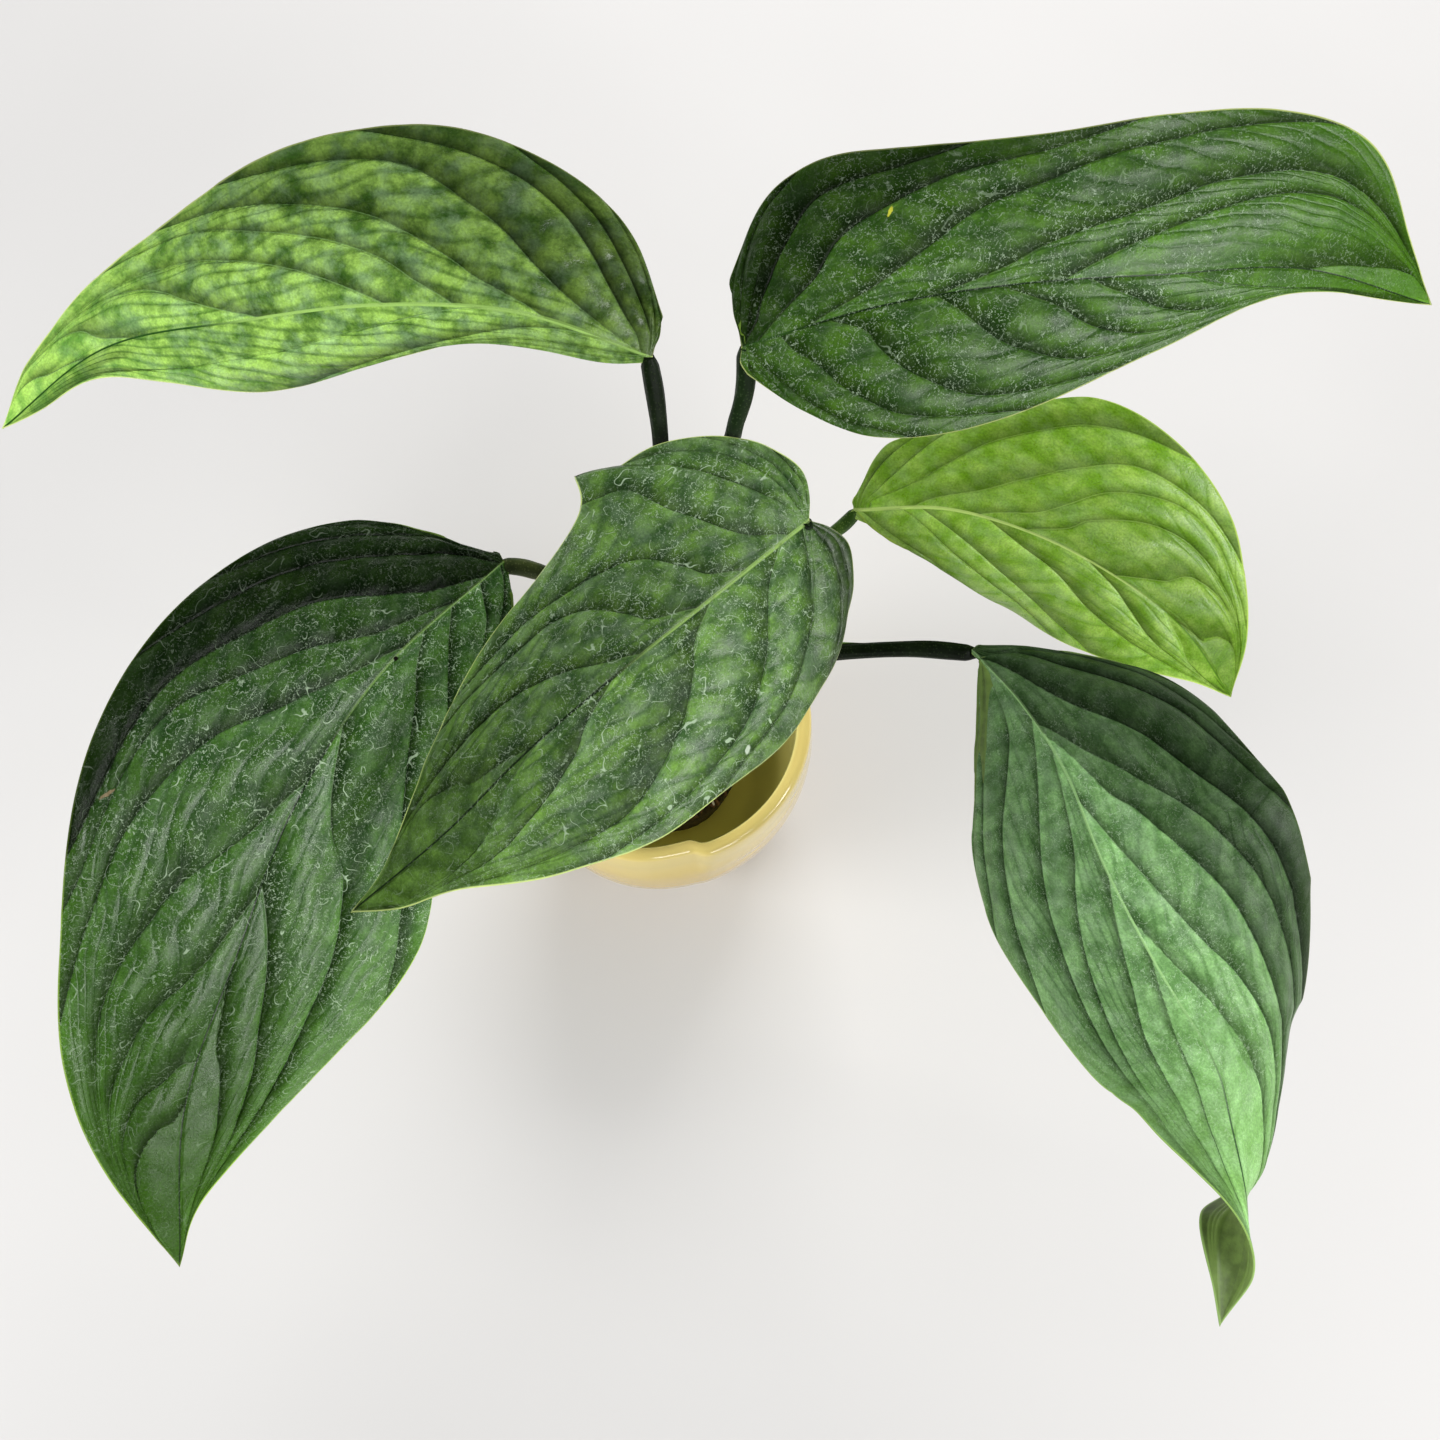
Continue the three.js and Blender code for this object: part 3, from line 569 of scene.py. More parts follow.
def blade(name, leaf, number, seed, materials):
    """Both halves joined at the midrib and given a thickness: each face is set off along the
    normal, the lower one also by the midrib's keel and the veins, and a rim closes the margin."""
    halves = {side: half_blade(leaf, number, seed + 40 * side, side) for side in (1, -1)}
    count = (ROWS + 1) * (COLUMNS + 1)
    both = {key: np.concatenate([halves[s][key].reshape(count, -1) for s in (1, -1)])
            for key in halves[1]}
    left = grid_faces(ROWS + 1, COLUMNS + 1)[:, ::-1]
    right = grid_faces(ROWS + 1, COLUMNS + 1, offset=count)
    source = np.concatenate([left, right])
    first, back = merged(both["sheet"])
    quads, source = trimmed(back[source], source)

    sheet = both["sheet"][first]
    normal = point_normals(sheet, quads)
    thin = (BLADE_THICKNESS / 2) * (1 - MARGIN_THINS * smoothstep(both["edge"][first], 0.95, 1))
    upper = sheet + normal * (thin - both["groove"][first])
    lower = sheet - normal * (thin + both["below"][first])
    n = len(sheet)

    three = quads[:, [3]] < 0
    under = np.where(three, quads[:, [2, 1, 0, 3]], quads[:, ::-1])
    under_from = np.where(three, source[:, [2, 1, 0, 3]], source[:, ::-1])
    under = np.where(under < 0, -1, under + n)
    rim, rim_from = rim_faces(quads, source, n)
    faces = np.concatenate([quads, under, rim])
    origin = np.concatenate([source, under_from, rim_from])
    slots = np.repeat([0, 1, 0], [len(quads), len(under), len(rim)])
    fields = {key: both[key][origin, 0] for key in FIELDS}
    return add_object(name, np.concatenate([upper, lower]), faces, materials, fields=fields,
                      flat=both["flat"][origin] / FLAT_UNIT, slots=slots)


# Materials

def srgb(r, g, b):
    """A colour given as it looks on a screen, 0 to 255, in the linear values that shaders use"""
    c = np.array([r, g, b]) / 255
    c = np.where(c <= 0.04045, c / 12.92, ((c + 0.055) / 1.055) ** 2.4)
    return (float(c[0]), float(c[1]), float(c[2]), 1.0)


class Finish:
    """A material with short calls for the nodes that this script needs"""

    def __init__(self, name):
        self.material = bpy.data.materials.new(name)
        self.material.use_nodes = True
        self.tree = self.material.node_tree
        self.shader = self.tree.nodes["Principled BSDF"]
        self.place = self.tree.nodes.new("ShaderNodeTexCoord").outputs["Object"]

    def put(self, socket, value):
        """Feeds a socket from another one, or sets its own value"""
        if isinstance(value, bpy.types.NodeSocket):
            self.tree.links.new(value, socket)
        else:
            socket.default_value = value

    def set(self, **values):
        """The shader's own inputs by name, with _ for a space"""
        for key, value in values.items():
            self.put(self.shader.inputs[key.replace("_", " ")], value)
        return self

    def field(self, name):
        """A number that the mesh carries at its face corners"""
        node = self.tree.nodes.new("ShaderNodeAttribute")
        node.attribute_name = name
        return node.outputs["Fac"]

    def flat(self):
        """The place on the blade laid flat"""
        node = self.tree.nodes.new("ShaderNodeUVMap")
        node.uv_map = "flat"
        return node.outputs["UV"]

    def vector(self, operation, *values):
        node = self.tree.nodes.new("ShaderNodeVectorMath")
        node.operation = operation
        for socket, value in zip(node.inputs, values):
            self.put(socket, value)
        return node.outputs["Value" if operation == "LENGTH" else "Vector"]

    def calc(self, operation, a, b=0.0):
        node = self.tree.nodes.new("ShaderNodeMath")
        node.operation = operation
        self.put(node.inputs[0], a)
        self.put(node.inputs[1], b)
        return node.outputs[0]

    def times(self, first, *others):
        for other in others:
            first = self.calc("MULTIPLY", first, other)
        return first

    def plus(self, first, *others):
        for other in others:
            first = self.calc("ADD", first, other)
        return first

    def step(self, value, low, high, start=0.0, end=1.0):
        """Smooth step from start to end while the value goes from low to high"""
        node = self.tree.nodes.new("ShaderNodeMapRange")
        node.interpolation_type = "SMOOTHSTEP"
        for socket, number in zip(node.inputs, (value, low, high, start, end)):
            self.put(socket, number)
        return node.outputs["Result"]

    def mix(self, share, a, b, blend="MIX"):
        """A mix of two colours, each a socket or a colour as it looks on a screen"""
        node = self.tree.nodes.new("ShaderNodeMix")
        node.data_type = "RGBA"
        node.blend_type = blend
        self.put(node.inputs[0], share)
        for socket, value in ((node.inputs[6], a), (node.inputs[7], b)):
            self.put(socket, srgb(*value) if isinstance(value, (tuple, list)) else value)
        return node.outputs[2]

    def noise(self, where, scale, detail=3.0, roughness=0.55, colour=False):
        """Smooth noise, 0 to 1; as a colour it is three such fields"""
        node = self.tree.nodes.new("ShaderNodeTexNoise")
        self.put(node.inputs["Vector"], where)
        self.put(node.inputs["Scale"], scale)
        self.put(node.inputs["Detail"], detail)
        self.put(node.inputs["Roughness"], roughness)
        return node.outputs["Color" if colour else "Fac"]

    def cells(self, where, scale, feature="F1", flat=False):
        """Distance to the middle or the edge of the nearest of many cells"""
        node = self.tree.nodes.new("ShaderNodeTexVoronoi")
        node.feature = feature
        node.voronoi_dimensions = "2D" if flat else "3D"
        self.put(node.inputs["Vector"], where)
        self.put(node.inputs["Scale"], scale)
        return node.outputs["Distance"]

    def warp(self, where, scale, amount):
        """A place moved about by noise"""
        noise = self.noise(where, scale, 2.0, colour=True)
        return self.vector("MULTIPLY_ADD", noise, (amount, amount, amount), where)

    def shift(self, where, amount):
        """A place moved sideways, so that the next pattern read there is another one"""
        return self.vector("ADD", where, (amount, 0.37 * amount, 0.0))

    def spot(self, flat, x, y, long, wide, turn):
        """1 inside a rough oval at a place on the blade, in mm, its long side turned by degrees"""
        ragged = 0.01
        node = self.tree.nodes.new("ShaderNodeMapping")
        node.vector_type = "TEXTURE"
        self.put(node.inputs["Vector"], self.warp(flat, 60.0, ragged))
        centre = (x / FLAT_UNIT + ragged / 2, y / FLAT_UNIT + ragged / 2, 0.0)
        self.put(node.inputs["Location"], centre)
        self.put(node.inputs["Rotation"], (0.0, 0.0, math.radians(turn)))
        self.put(node.inputs["Scale"], (long / FLAT_UNIT, wide / FLAT_UNIT, 1.0))
        off = self.vector("MULTIPLY", node.outputs[0], (1.0, 1.0, 0.0))
        return self.step(self.vector("LENGTH", off), 1.0, 0.6)

    def split(self, vector):
        node = self.tree.nodes.new("ShaderNodeSeparateXYZ")
        self.put(node.inputs[0], vector)
        return node.outputs

    def bump(self, height, strength, distance):
        """Relief too fine for the mesh, from a height field"""
        node = self.tree.nodes.new("ShaderNodeBump")
        self.put(node.inputs["Height"], height)
        node.inputs["Strength"].default_value = strength
        node.inputs["Distance"].default_value = distance
        self.put(self.shader.inputs["Normal"], node.outputs[0])


# Upper faces, colours as they look on a screen:
#   deep, bright   dark and bright tissue, and glow: the share of the bright
#    vein, pale     a main vein: a dark line of painted shade in its sunken crease, which takes its own pale colour for its first run of the way to the margin
#    midrib, rib    its colour and its half-width in mm at base and tip; over crease it darkens to the painted shade of its sunken groove
#   edge           the margin
#   tip, tip_from  the tissue's colour at the tip, and the share of the length where it starts
#    film_and_sheen, film_sheen_colour   how much grey film lies on it, partly painted sheen, and its colour
#   rings, grains  how much of the dried outlines of drops, and of fine white grains
#    shade          how far painted shade darkens a panel at its low side, and painted light brightens its high side
#   satin, gloss   roughness and strength of the sheen
#   marks          spots: place, long and wide in mm, turn in degrees, colour
PLAIN_SKIN = dict(rings=0.0, grains=0.0, gloss=0.5, film_sheen_colour=(118, 142, 110), rib=(0.7, 0.3), marks=[])
SKINS = [
    dict(deep=(42, 70, 36), bright=(102, 140, 58), vein=(26, 42, 20), pale=(112, 144, 86),
         run=0.12, midrib=(130, 162, 86), crease=(0.3, 0.45), edge=(186, 204, 122),
         tip=(58, 84, 26), tip_from=0.5, glow=0.7, film_and_sheen=0.3, rings=0.7, grains=0.65, shade=0.8,
         # Leaf 1's white spot is a painted highlight on a small tear
         satin=0.32, marks=[(71, 49, 2.1, 1.1, 30, (184, 198, 176))]),
    dict(deep=(38, 72, 20), bright=(80, 122, 32), vein=(20, 42, 10), pale=(84, 118, 52),
         run=0.3, midrib=(52, 90, 32), rib=(0.35, 0.2), crease=(0.02, 0.12),
         edge=(196, 210, 126), tip=(66, 112, 14), tip_from=0.5, glow=0.7, film_and_sheen=0.1, rings=0.3,
         grains=0.75, shade=0.95, satin=0.36, marks=[(54.4, 27.9, 2.2, 0.7, 60, (196, 196, 60))]),
    dict(deep=(40, 80, 20), bright=(148, 188, 84), vein=(30, 66, 18), pale=(124, 160, 96),
         run=1.0, midrib=(140, 176, 90), crease=(0.5, 0.62), edge=(196, 214, 128),
         tip=(92, 144, 56), tip_from=0.5, glow=0.95, film_and_sheen=0.4, film_sheen_colour=(150, 182, 136),
         grains=0.05, shade=0.85, satin=0.25),
    dict(deep=(102, 150, 22), bright=(150, 188, 76), vein=(92, 138, 30), pale=(160, 194, 96),
         run=1.3, midrib=(180, 208, 112), crease=(0.62, 0.75), edge=(180, 208, 98),
         tip=(92, 140, 18), tip_from=0.4, glow=0.8, film_and_sheen=0.35, film_sheen_colour=(158, 190, 118),
         shade=0.65, satin=0.3),
    dict(deep=(36, 66, 28), bright=(68, 106, 38), vein=(18, 36, 14), pale=(98, 124, 82),
         run=0.25, midrib=(104, 134, 72), rib=(0.5, 0.2), crease=(0.22, 0.34),
         edge=(136, 168, 70), tip=(60, 100, 16), tip_from=0.35, glow=0.7, film_and_sheen=0.15, rings=0.8,
         grains=0.72, shade=0.9, satin=0.25,
         marks=[(136.7, -57, 3.0, 0.6, -43, (120, 106, 78)),
                (56.8, 0.5, 1.2, 0.9, 0, (24, 20, 16))]),
    dict(deep=(54, 86, 42), bright=(104, 140, 86), vein=(34, 58, 28), pale=(100, 132, 84),
         run=0.25, midrib=(110, 142, 90), rib=(0.5, 0.3), crease=(0.5, 0.75),
         edge=(136, 168, 90), tip=(100, 138, 68), tip_from=0.45, glow=0.75, film_and_sheen=0.35,
         grains=0.3, shade=0.75, satin=0.34, gloss=0.2),
]
CRUST = (172, 194, 162)


def loops(f, flat, size, width, seed, kept):
    """Thin wiggly outlines of cells about `size` mm across and `width` mm wide. Noise breaks
    them up and keeps more of them the higher `kept` is."""
    bent = f.warp(f.shift(flat, seed), 2 * FLAT_UNIT / size, 0.012 * size)
    cells = f.cells(bent, FLAT_UNIT / size, "DISTANCE_TO_EDGE", True)
    line = f.step(cells, 0.6 * width / size, 0.25 * width / size)
    broken = f.noise(f.shift(flat, seed + 7), 1.6 * FLAT_UNIT / size, 2.0)
    return f.times(line, f.step(broken, 0.6 - 0.2 * kept, 0.64 - 0.2 * kept))


def stains(f, flat, size, seed):
    """Smooth closed outlines about `size` mm across: lines of equal height of smooth noise"""
    level = f.noise(f.shift(flat, seed), FLAT_UNIT / size, 1.0)
    near = f.calc("ABSOLUTE", f.calc("SUBTRACT", level, 0.56))
    kept = f.step(f.noise(f.shift(flat, seed + 3), 18.0), 0.48, 0.56)
    return f.times(f.step(near, 0.01, 0.003), kept)


def deposits(f, flat, skin):
    """What hard water leaves: broken loops, specks between them, and outlines of drops"""
    if not skin["grains"]:
        return None
    specks = f.times(f.step(f.cells(f.shift(flat, 4), 95.0, "F1", True), 0.24, 0.12),
                     f.step(f.noise(f.shift(flat, 6), 60.0), 0.48, 0.6, 0.0, 0.8))
    small = f.times(loops(f, flat, 1.5, 0.24, 2, 0.3), 0.8)
    crust = f.calc("MAXIMUM", loops(f, flat, 3.4, 0.3, 1, 0.5), small)
    crust = f.calc("MAXIMUM", crust, specks)
    patchy = f.step(f.noise(flat, 8.0, 3.0), 0.38, 0.58, 0.2, 1.0)
    crust = f.times(crust, patchy, skin["grains"])
    if skin["rings"]:
        crust = f.calc("MAXIMUM", crust, f.times(stains(f, flat, 9.0, 5), skin["rings"]))
    return crust


def upper_skin(name, skin):
    """Satin upper face: bright panels between darker veins, with painted shade at the low side of
    each panel and painted light at its high side, a dark line of painted shade in each sunken
    vein, a midrib that is pale near the base and a dark crease of painted shade towards the tip, a
    pale margin, cross veins, a grey film that is partly painted sheen, and the stains and grains
    that drops of hard water leave as they dry"""
    f = Finish(name)
    skin = {**PLAIN_SKIN, **skin}
    flat, share, margin, spread = f.flat(), f.field("share"), f.field("margin"), f.field("spread")
    whole = f.field("panel")
    ladder = f.calc("PINGPONG", f.field("ladder"), 0.5)
    distance = f.times(f.calc("PINGPONG", whole, 0.5), spread)
    off = f.calc("ABSOLUTE", f.times(f.split(flat)[1], FLAT_UNIT))
    # 0 at the low side of a panel and 1 at its high side
    part = f.calc("SUBTRACT", f.field("low_side"), f.calc("FRACT", whole))
    part = f.calc("ABSOLUTE", part)
    # Veins fade where they crowd and where the last panel runs on to the tip
    roomy = f.times(f.step(spread, 2.0, 9.0, 0.25, 1.0), f.step(spread, 30.0, 44.0, 1.0, 0.15))
    # Deposits and the grey film with its painted sheen fade towards the tip
    calm = f.step(share, skin["tip_from"], 0.95, 1.0, 0.25)
    mottle = f.noise(flat, 34.0, 3.0, 0.6)
    grit = f.noise(flat, 120.0, 3.0, 0.6)

    # Tissue: bright cells between the cross veins, blotched and mottled
    cross = f.times(f.step(ladder, 0.3, 0.02), f.step(spread, 4.0, 12.0, 0.1, 0.6))
    blotch = f.step(f.noise(flat, 9.0, 4.0, 0.6), 0.34, 0.66, 0.15, 1.25)
    glow = f.times(f.calc("SUBTRACT", 1.0, cross), blotch,
                   f.step(mottle, 0.25, 0.75, 0.65, 1.2), skin["glow"])
    tint = f.mix(f.step(share, skin["tip_from"], 1.0, 0.0, 0.75), skin["deep"], skin["tip"])
    tint = f.mix(f.step(margin, 12.0, 1.0, 0.0, 0.45), tint, skin["tip"])
    tint = f.mix(glow, tint, skin["bright"])
    # Grey film in patches: partly a real film, partly painted sheen on the satin tissue
    film_and_sheen = f.times(f.step(f.noise(flat, 11.0, 4.0, 0.65), 0.42, 0.68), skin["film_and_sheen"], calm)
    tint = f.mix(film_and_sheen, tint, skin["film_sheen_colour"])

    # Painted shade at the low side of each panel and painted light at its high side, made uneven
    # by fine noise
    dark = f.times(f.step(part, 0.5, 0.0, 0.0, -0.75 * skin["shade"]), roomy)
    light = f.times(f.step(part, 0.7, 1.0, 0.0, 0.4 * skin["shade"]), roomy)
    shade = f.times(f.plus(dark, light, 1.0), f.step(grit, 0.3, 0.7, 0.82, 1.18))
    tint = f.mix(1.0, tint, shade, "MULTIPLY")

    # Veins, midrib and margin. The dark line along each vein and the dark crease along the
    # midrib's outer part are painted shade in sunken creases; the pale first run of each vein, the
    # pale midrib near the base and the pale margin are their own colour
    vein = f.times(f.step(f.plus(distance, f.times(mottle, 0.2)), 0.42, 0.18), roomy, 0.7)
    pale = f.step(f.field("edge"), skin["run"], 0.3 * skin["run"], 0.0, 0.8)
    tint = f.mix(vein, tint, f.mix(pale, skin["vein"], skin["pale"]))
    rib = f.step(f.calc("SUBTRACT", off, f.step(share, 0.0, 0.8, *skin["rib"])), 0.2, -0.15)
    along_rib = f.mix(f.step(share, *skin["crease"]), skin["midrib"], skin["vein"])
    tint = f.mix(rib, tint, along_rib)
    tint = f.mix(f.step(margin, 0.8, 0.25), tint, skin["edge"])

    rough = f.step(mottle, 0.3, 0.7, skin["satin"] - 0.05, skin["satin"] + 0.08)
    rough = f.plus(rough, f.times(film_and_sheen, 0.15))
    height = f.plus(f.times(grit, 0.2), f.step(distance, 0.0, 1.0, 0.0, 0.35),
                    f.step(off, 0.0, 1.4, 0.0, 0.35), f.step(ladder, 0.0, 0.2, 0.0, 0.15),
                    f.times(f.step(f.times(part, spread), 0.0, 5.0, 0.0, 0.25), roomy))
    crust = deposits(f, flat, skin)
    if crust:
        crust = f.times(crust, calm)
        tint = f.mix(crust, tint, CRUST)
        rough = f.plus(rough, f.times(crust, 0.2))
        height = f.plus(height, f.times(crust, 0.2))
    # Painted shade and light of each panel, with the tissue's own tone
    tint = f.mix(1.0, tint, f.field("shade_and_tone"), "MULTIPLY")
    for *oval, colour in skin["marks"]:
        tint = f.mix(f.spot(flat, *oval), tint, colour)
    gloss = f.times(f.step(part, 0.3, 0.6, 0.2, 1.0), skin["gloss"],
                    f.step(share, 0.7, 0.95, 1.0, 0.2))
    f.set(Base_Color=tint, Roughness=rough, Specular_IOR_Level=gloss)
    f.bump(height, 1.0, MM)
    return f.material


def under_skin(name, skin):
    """Paler, duller lower face, with the veins a little lighter than the tissue"""
    f = Finish(name)
    gap = f.times(f.calc("PINGPONG", f.field("panel"), 0.5), f.field("spread"))
    flat = f.flat()
    mottle = f.noise(flat, 26.0, 4.0)
    pale = [0.5 * a + 0.5 * b for a, b in zip(skin["bright"], (88, 100, 24))]
    tint = f.mix(f.step(mottle, 0.3, 0.7), [0.8 * v for v in pale], pale)
    tint = f.mix(f.step(gap, 1.1, 0.4, 0.0, 0.4), tint, [1.2 * v for v in pale])
    tint = f.mix(f.step(f.field("margin"), 0.9, 0.25), tint, skin["edge"])
    f.set(Base_Color=tint, Roughness=0.55)
    f.bump(f.noise(flat, 160.0, 2.0), 0.3, 0.0003)
    return f.material


# Petioles and stem

def tube(curve, radius, sides, rings, start=(0.0, 0.0, 1.0)):
    """A closed round skin carried along a curve. The radius is a function of the share of the
    length and the angle round it. The section's first direction is `start` made square to the
    curve, and each end is closed by a fan to its middle."""
    share = np.linspace(0, 1, rings)
    centre = curve.place(share * curve.length)
    tangent = curve.tangent(share * curve.length)
    lead = np.array(start, float)
    lead = unit(lead - tangent * (tangent @ lead)[:, None])
    beside = np.cross(tangent, lead)
    angle = np.arange(sides) / sides * 2 * np.pi
    r = radius(share[:, None], angle[None, :])
    places = (centre[:, None] + lead[:, None] * (r * np.cos(angle))[..., None]
              + beside[:, None] * (r * np.sin(angle))[..., None]).reshape(-1, 3)
    places = np.vstack([places, centre[:1], centre[-1:]])
    height = np.concatenate([(r / r.min(axis=1, keepdims=True)).reshape(-1), [1, 1]])
    return places, tube_faces(rings, sides), {"height": height}


def corner_fields(faces, fields):
    """A number for each point, given to every face corner that meets there"""
    return {key: np.where(faces < 0, 0, value[faces]) for key, value in fields.items()}


def petiole_skin(name, low, high, speckle, wing=None):
    """Dull green in soft blotches with pale speckles; a sheath is paler where it stands out"""
    f = Finish(name)
    streak = f.noise(f.place, 260.0, 3.0)
    tint = f.mix(f.step(f.noise(f.place, 70.0, 3.0), 0.3, 0.7), low, high)
    dots = f.step(f.cells(f.place, 900.0), 0.34, 0.16)
    tint = f.mix(f.times(dots, 0.55), tint, speckle)
    if wing:
        tint = f.mix(f.step(f.field("height"), 1.12, 1.5), tint, wing)
    f.set(Base_Color=tint, Roughness=f.step(streak, 0.3, 0.7, 0.42, 0.6), Specular_IOR_Level=0.15)
    f.bump(f.plus(dots, streak), 0.45, 0.0003)
    return f.material


def petiole(name, leaf, material):
    """A round stalk from inside the stem to the blade's base, swollen at its knee just below
    the blade and widened where it clasps the stem. A sheath adds a thin ridge on one side."""
    thick, thin = leaf["radius"]
    base = np.array(leaf["midrib"][0], float)
    path = Curve([*leaf["petiole"], tuple(base - [0, 0, 0.6])])
    sheath = leaf.get("sheath")
    start = sheath["towards"] if sheath else (0.3, 0.2, 1.0)

    def radius(share, angle):
        """A squared taper, bells at knee and clasp, faint ribs, a groove, and the sheath's fin"""
        r = thin + (thick - thin) * (1 - share) ** 2 + 0.5 * bell(share - 0.93, 0.06)
        r = r + 1.1 * bell(share - 0.04, 0.05) - 1.2 * smoothstep(share, 0.975, 1)
        ribs = 0.06 * np.sin(5 * angle + 9 * share) + 0.05 * np.sin(11 * angle - 6 * share)
        r = r + ribs - 0.35 * bell(np.angle(np.exp(1j * (angle - 1.4))), 0.5) * (1 - share)
        if sheath:
            run = np.clip((share - sheath["start"]) / (sheath["end"] - sheath["start"]), 0, 1)
            fin = sheath["height"] * np.sin(np.pi * run ** 0.7)
            r = r + fin * bell(np.angle(np.exp(1j * angle)), 0.24)
        return r

    places, faces, fields = tube(path, radius, 72 if sheath else 36, 130, start)
    return add_object(name, places, faces, material, fields=corner_fields(faces, fields))


STEM = [(0, 0, 30), (0, 0, 44), (0, 0, 60), (2, 3, 92), (6, 11, 135), (10, 17, 172),
        (12, 19, 196)]
STEM_RADIUS = 6.5
BUD_RADIUS = 1.6


def stem(name, material):
    """A short leaning stem: rings of leaf scars and a swelling at each leaf, a bud on top"""
    path = Curve(STEM)
    heights = [leaf["petiole"][0][2] for leaf in LEAVES]

    def radius(share, angle):
        """Even, with a bell at each leaf and a fine ring below it, drawn in to the bud"""
        z = path.place(share[:, 0] * path.length)[:, 2][:, None]
        r = STEM_RADIUS + 0 * angle
        for at in heights:
            r = r + 0.9 * bell(z - at, 5) * (z > 66) - 0.35 * bell(z - at + 7, 0.8)
        r = r + 0.12 * np.sin(6 * angle + z / 9) + 0.08 * np.sin(13 * angle - z / 5)
        taper = np.clip((share - 0.88) / 0.12, 0, 1) ** 1.5
        return r + (BUD_RADIUS - r) * taper

    places, faces, fields = tube(path, radius, 48, 240, (1.0, 0.2, 0.0))
    return add_object(name, places, faces, material, fields=corner_fields(faces, fields))


def stem_skin():
    """Green bark in soft blotches, with small brown scabs"""
    f = Finish("stem_bark")
    rings = f.noise(f.place, 120.0, 4.0)
    tint = f.mix(f.step(rings, 0.3, 0.7), (52, 70, 34), (92, 106, 56))
    tint = f.mix(f.step(f.noise(f.place, 420.0, 2.0), 0.58, 0.7), tint, (112, 92, 58))
    f.set(Base_Color=tint, Roughness=f.step(rings, 0.3, 0.7, 0.45, 0.65))
    f.bump(f.noise(f.place, 600.0, 3.0), 0.5, 0.0005)
    return f.material


# The pot

POT_OUTER = [(38, 0), (50, 12), (63, 36), (70.2, 62), (71, 80), (70, 98)]
POT_INNER = [(26, 8.5), (44, 17), (56, 38), (62.8, 60), (64, 80), (62, 100)]
FOOT_ROUND = 1.2
LIP_RADIUS = 65.7
LIP_ROUND = 3.6
RIM = 110
NOTCH = -74
POT_SIDES = 240


def bulge(z, degrees):
    """How far the wall stands out of its round profile: an oval of two broad petals, less the
    tuck where each petal's end dips in behind the next, steep on one side of it, soft on the
    other. The second value is how far the rim dips there."""
    half = (NOTCH - degrees) % 180
    off = np.where(half > 90, half - 180, half) - 5
    tuck = np.exp(-(off / np.where(off < 0, 4, 19)) ** 2)
    oval = np.cos(2 * np.radians(half - 63))
    low = smoothstep(z, 0, 75)
    high = smoothstep(z, 72, 106)
    out = oval * (2.6 * low * (1 - high) + 1.5 * high) - tuck * (0.9 * low * (1 - high) + 4 * high)
    return out, tuck * high * 2


def turned(profile, sides, tremble=0.0):
    """A closed skin turned about the pot's axis from a profile of radius and height, pushed out
    or in by the bulge; the profile's two ends are closed by a fan to the axis"""
    profile = np.array(profile, float)
    degrees = NOTCH - np.arange(sides) / sides * 360
    r, z = profile[:, :1], profile[:, 1:]
    out, dip = bulge(z, degrees[None, :])
    wobble = tremble * ripples(z / 9, np.radians(degrees)[None, :] * 2, 2.6, 4)
    radius = r + (out + wobble) * smoothstep(r, 12, 40)
    angle = np.radians(degrees)[None, :]
    places = np.stack([radius * np.cos(angle), radius * np.sin(angle), z - dip], -1).reshape(-1, 3)
    places = np.vstack([places, [0, 0, profile[0, 1]], [0, 0, profile[-1, 1]]])
    return places, tube_faces(len(profile), sides)


def pot_profile():
    """Radius and height of the section from the foot's edge up the wall, over the lip and down
    the well, and for each point how far it lies inside: 0 to 1, rising over the lip"""
    outer, inner = Curve(POT_OUTER), Curve(POT_INNER)
    wall = outer.place(np.linspace(0, outer.length, 70))
    wall = wall[wall[:, 1] > FOOT_ROUND]
    turn = np.radians(np.linspace(0, 90, 6))
    foot_r = POT_OUTER[0][0] - FOOT_ROUND + np.sin(turn) * FOOT_ROUND
    foot = np.stack([foot_r, FOOT_ROUND * (1 - np.cos(turn))], -1)
    lip = np.radians(np.linspace(8, 172, 22))
    lip = np.stack([LIP_RADIUS + np.cos(lip) * LIP_ROUND, RIM - LIP_ROUND * (1 - np.sin(lip))], -1)
    well = inner.place(np.linspace(inner.length, 0, 60))
    profile = np.vstack([foot, wall, lip, well])
    place = np.arange(len(profile)) - len(foot) - len(wall)
    return profile, smoothstep(place, 0.6 * len(lip), len(lip))


def glazed_pot(name, material):
    """The bowl with its lip, a little uneven as if thrown by hand"""
    profile, inner = pot_profile()
    places, faces = turned(profile, POT_SIDES, 0.12)
    inner = np.concatenate([np.repeat(inner, POT_SIDES), [0, 1]])
    return add_object(name, places, faces, material, fields=corner_fields(faces, {"inner": inner}))


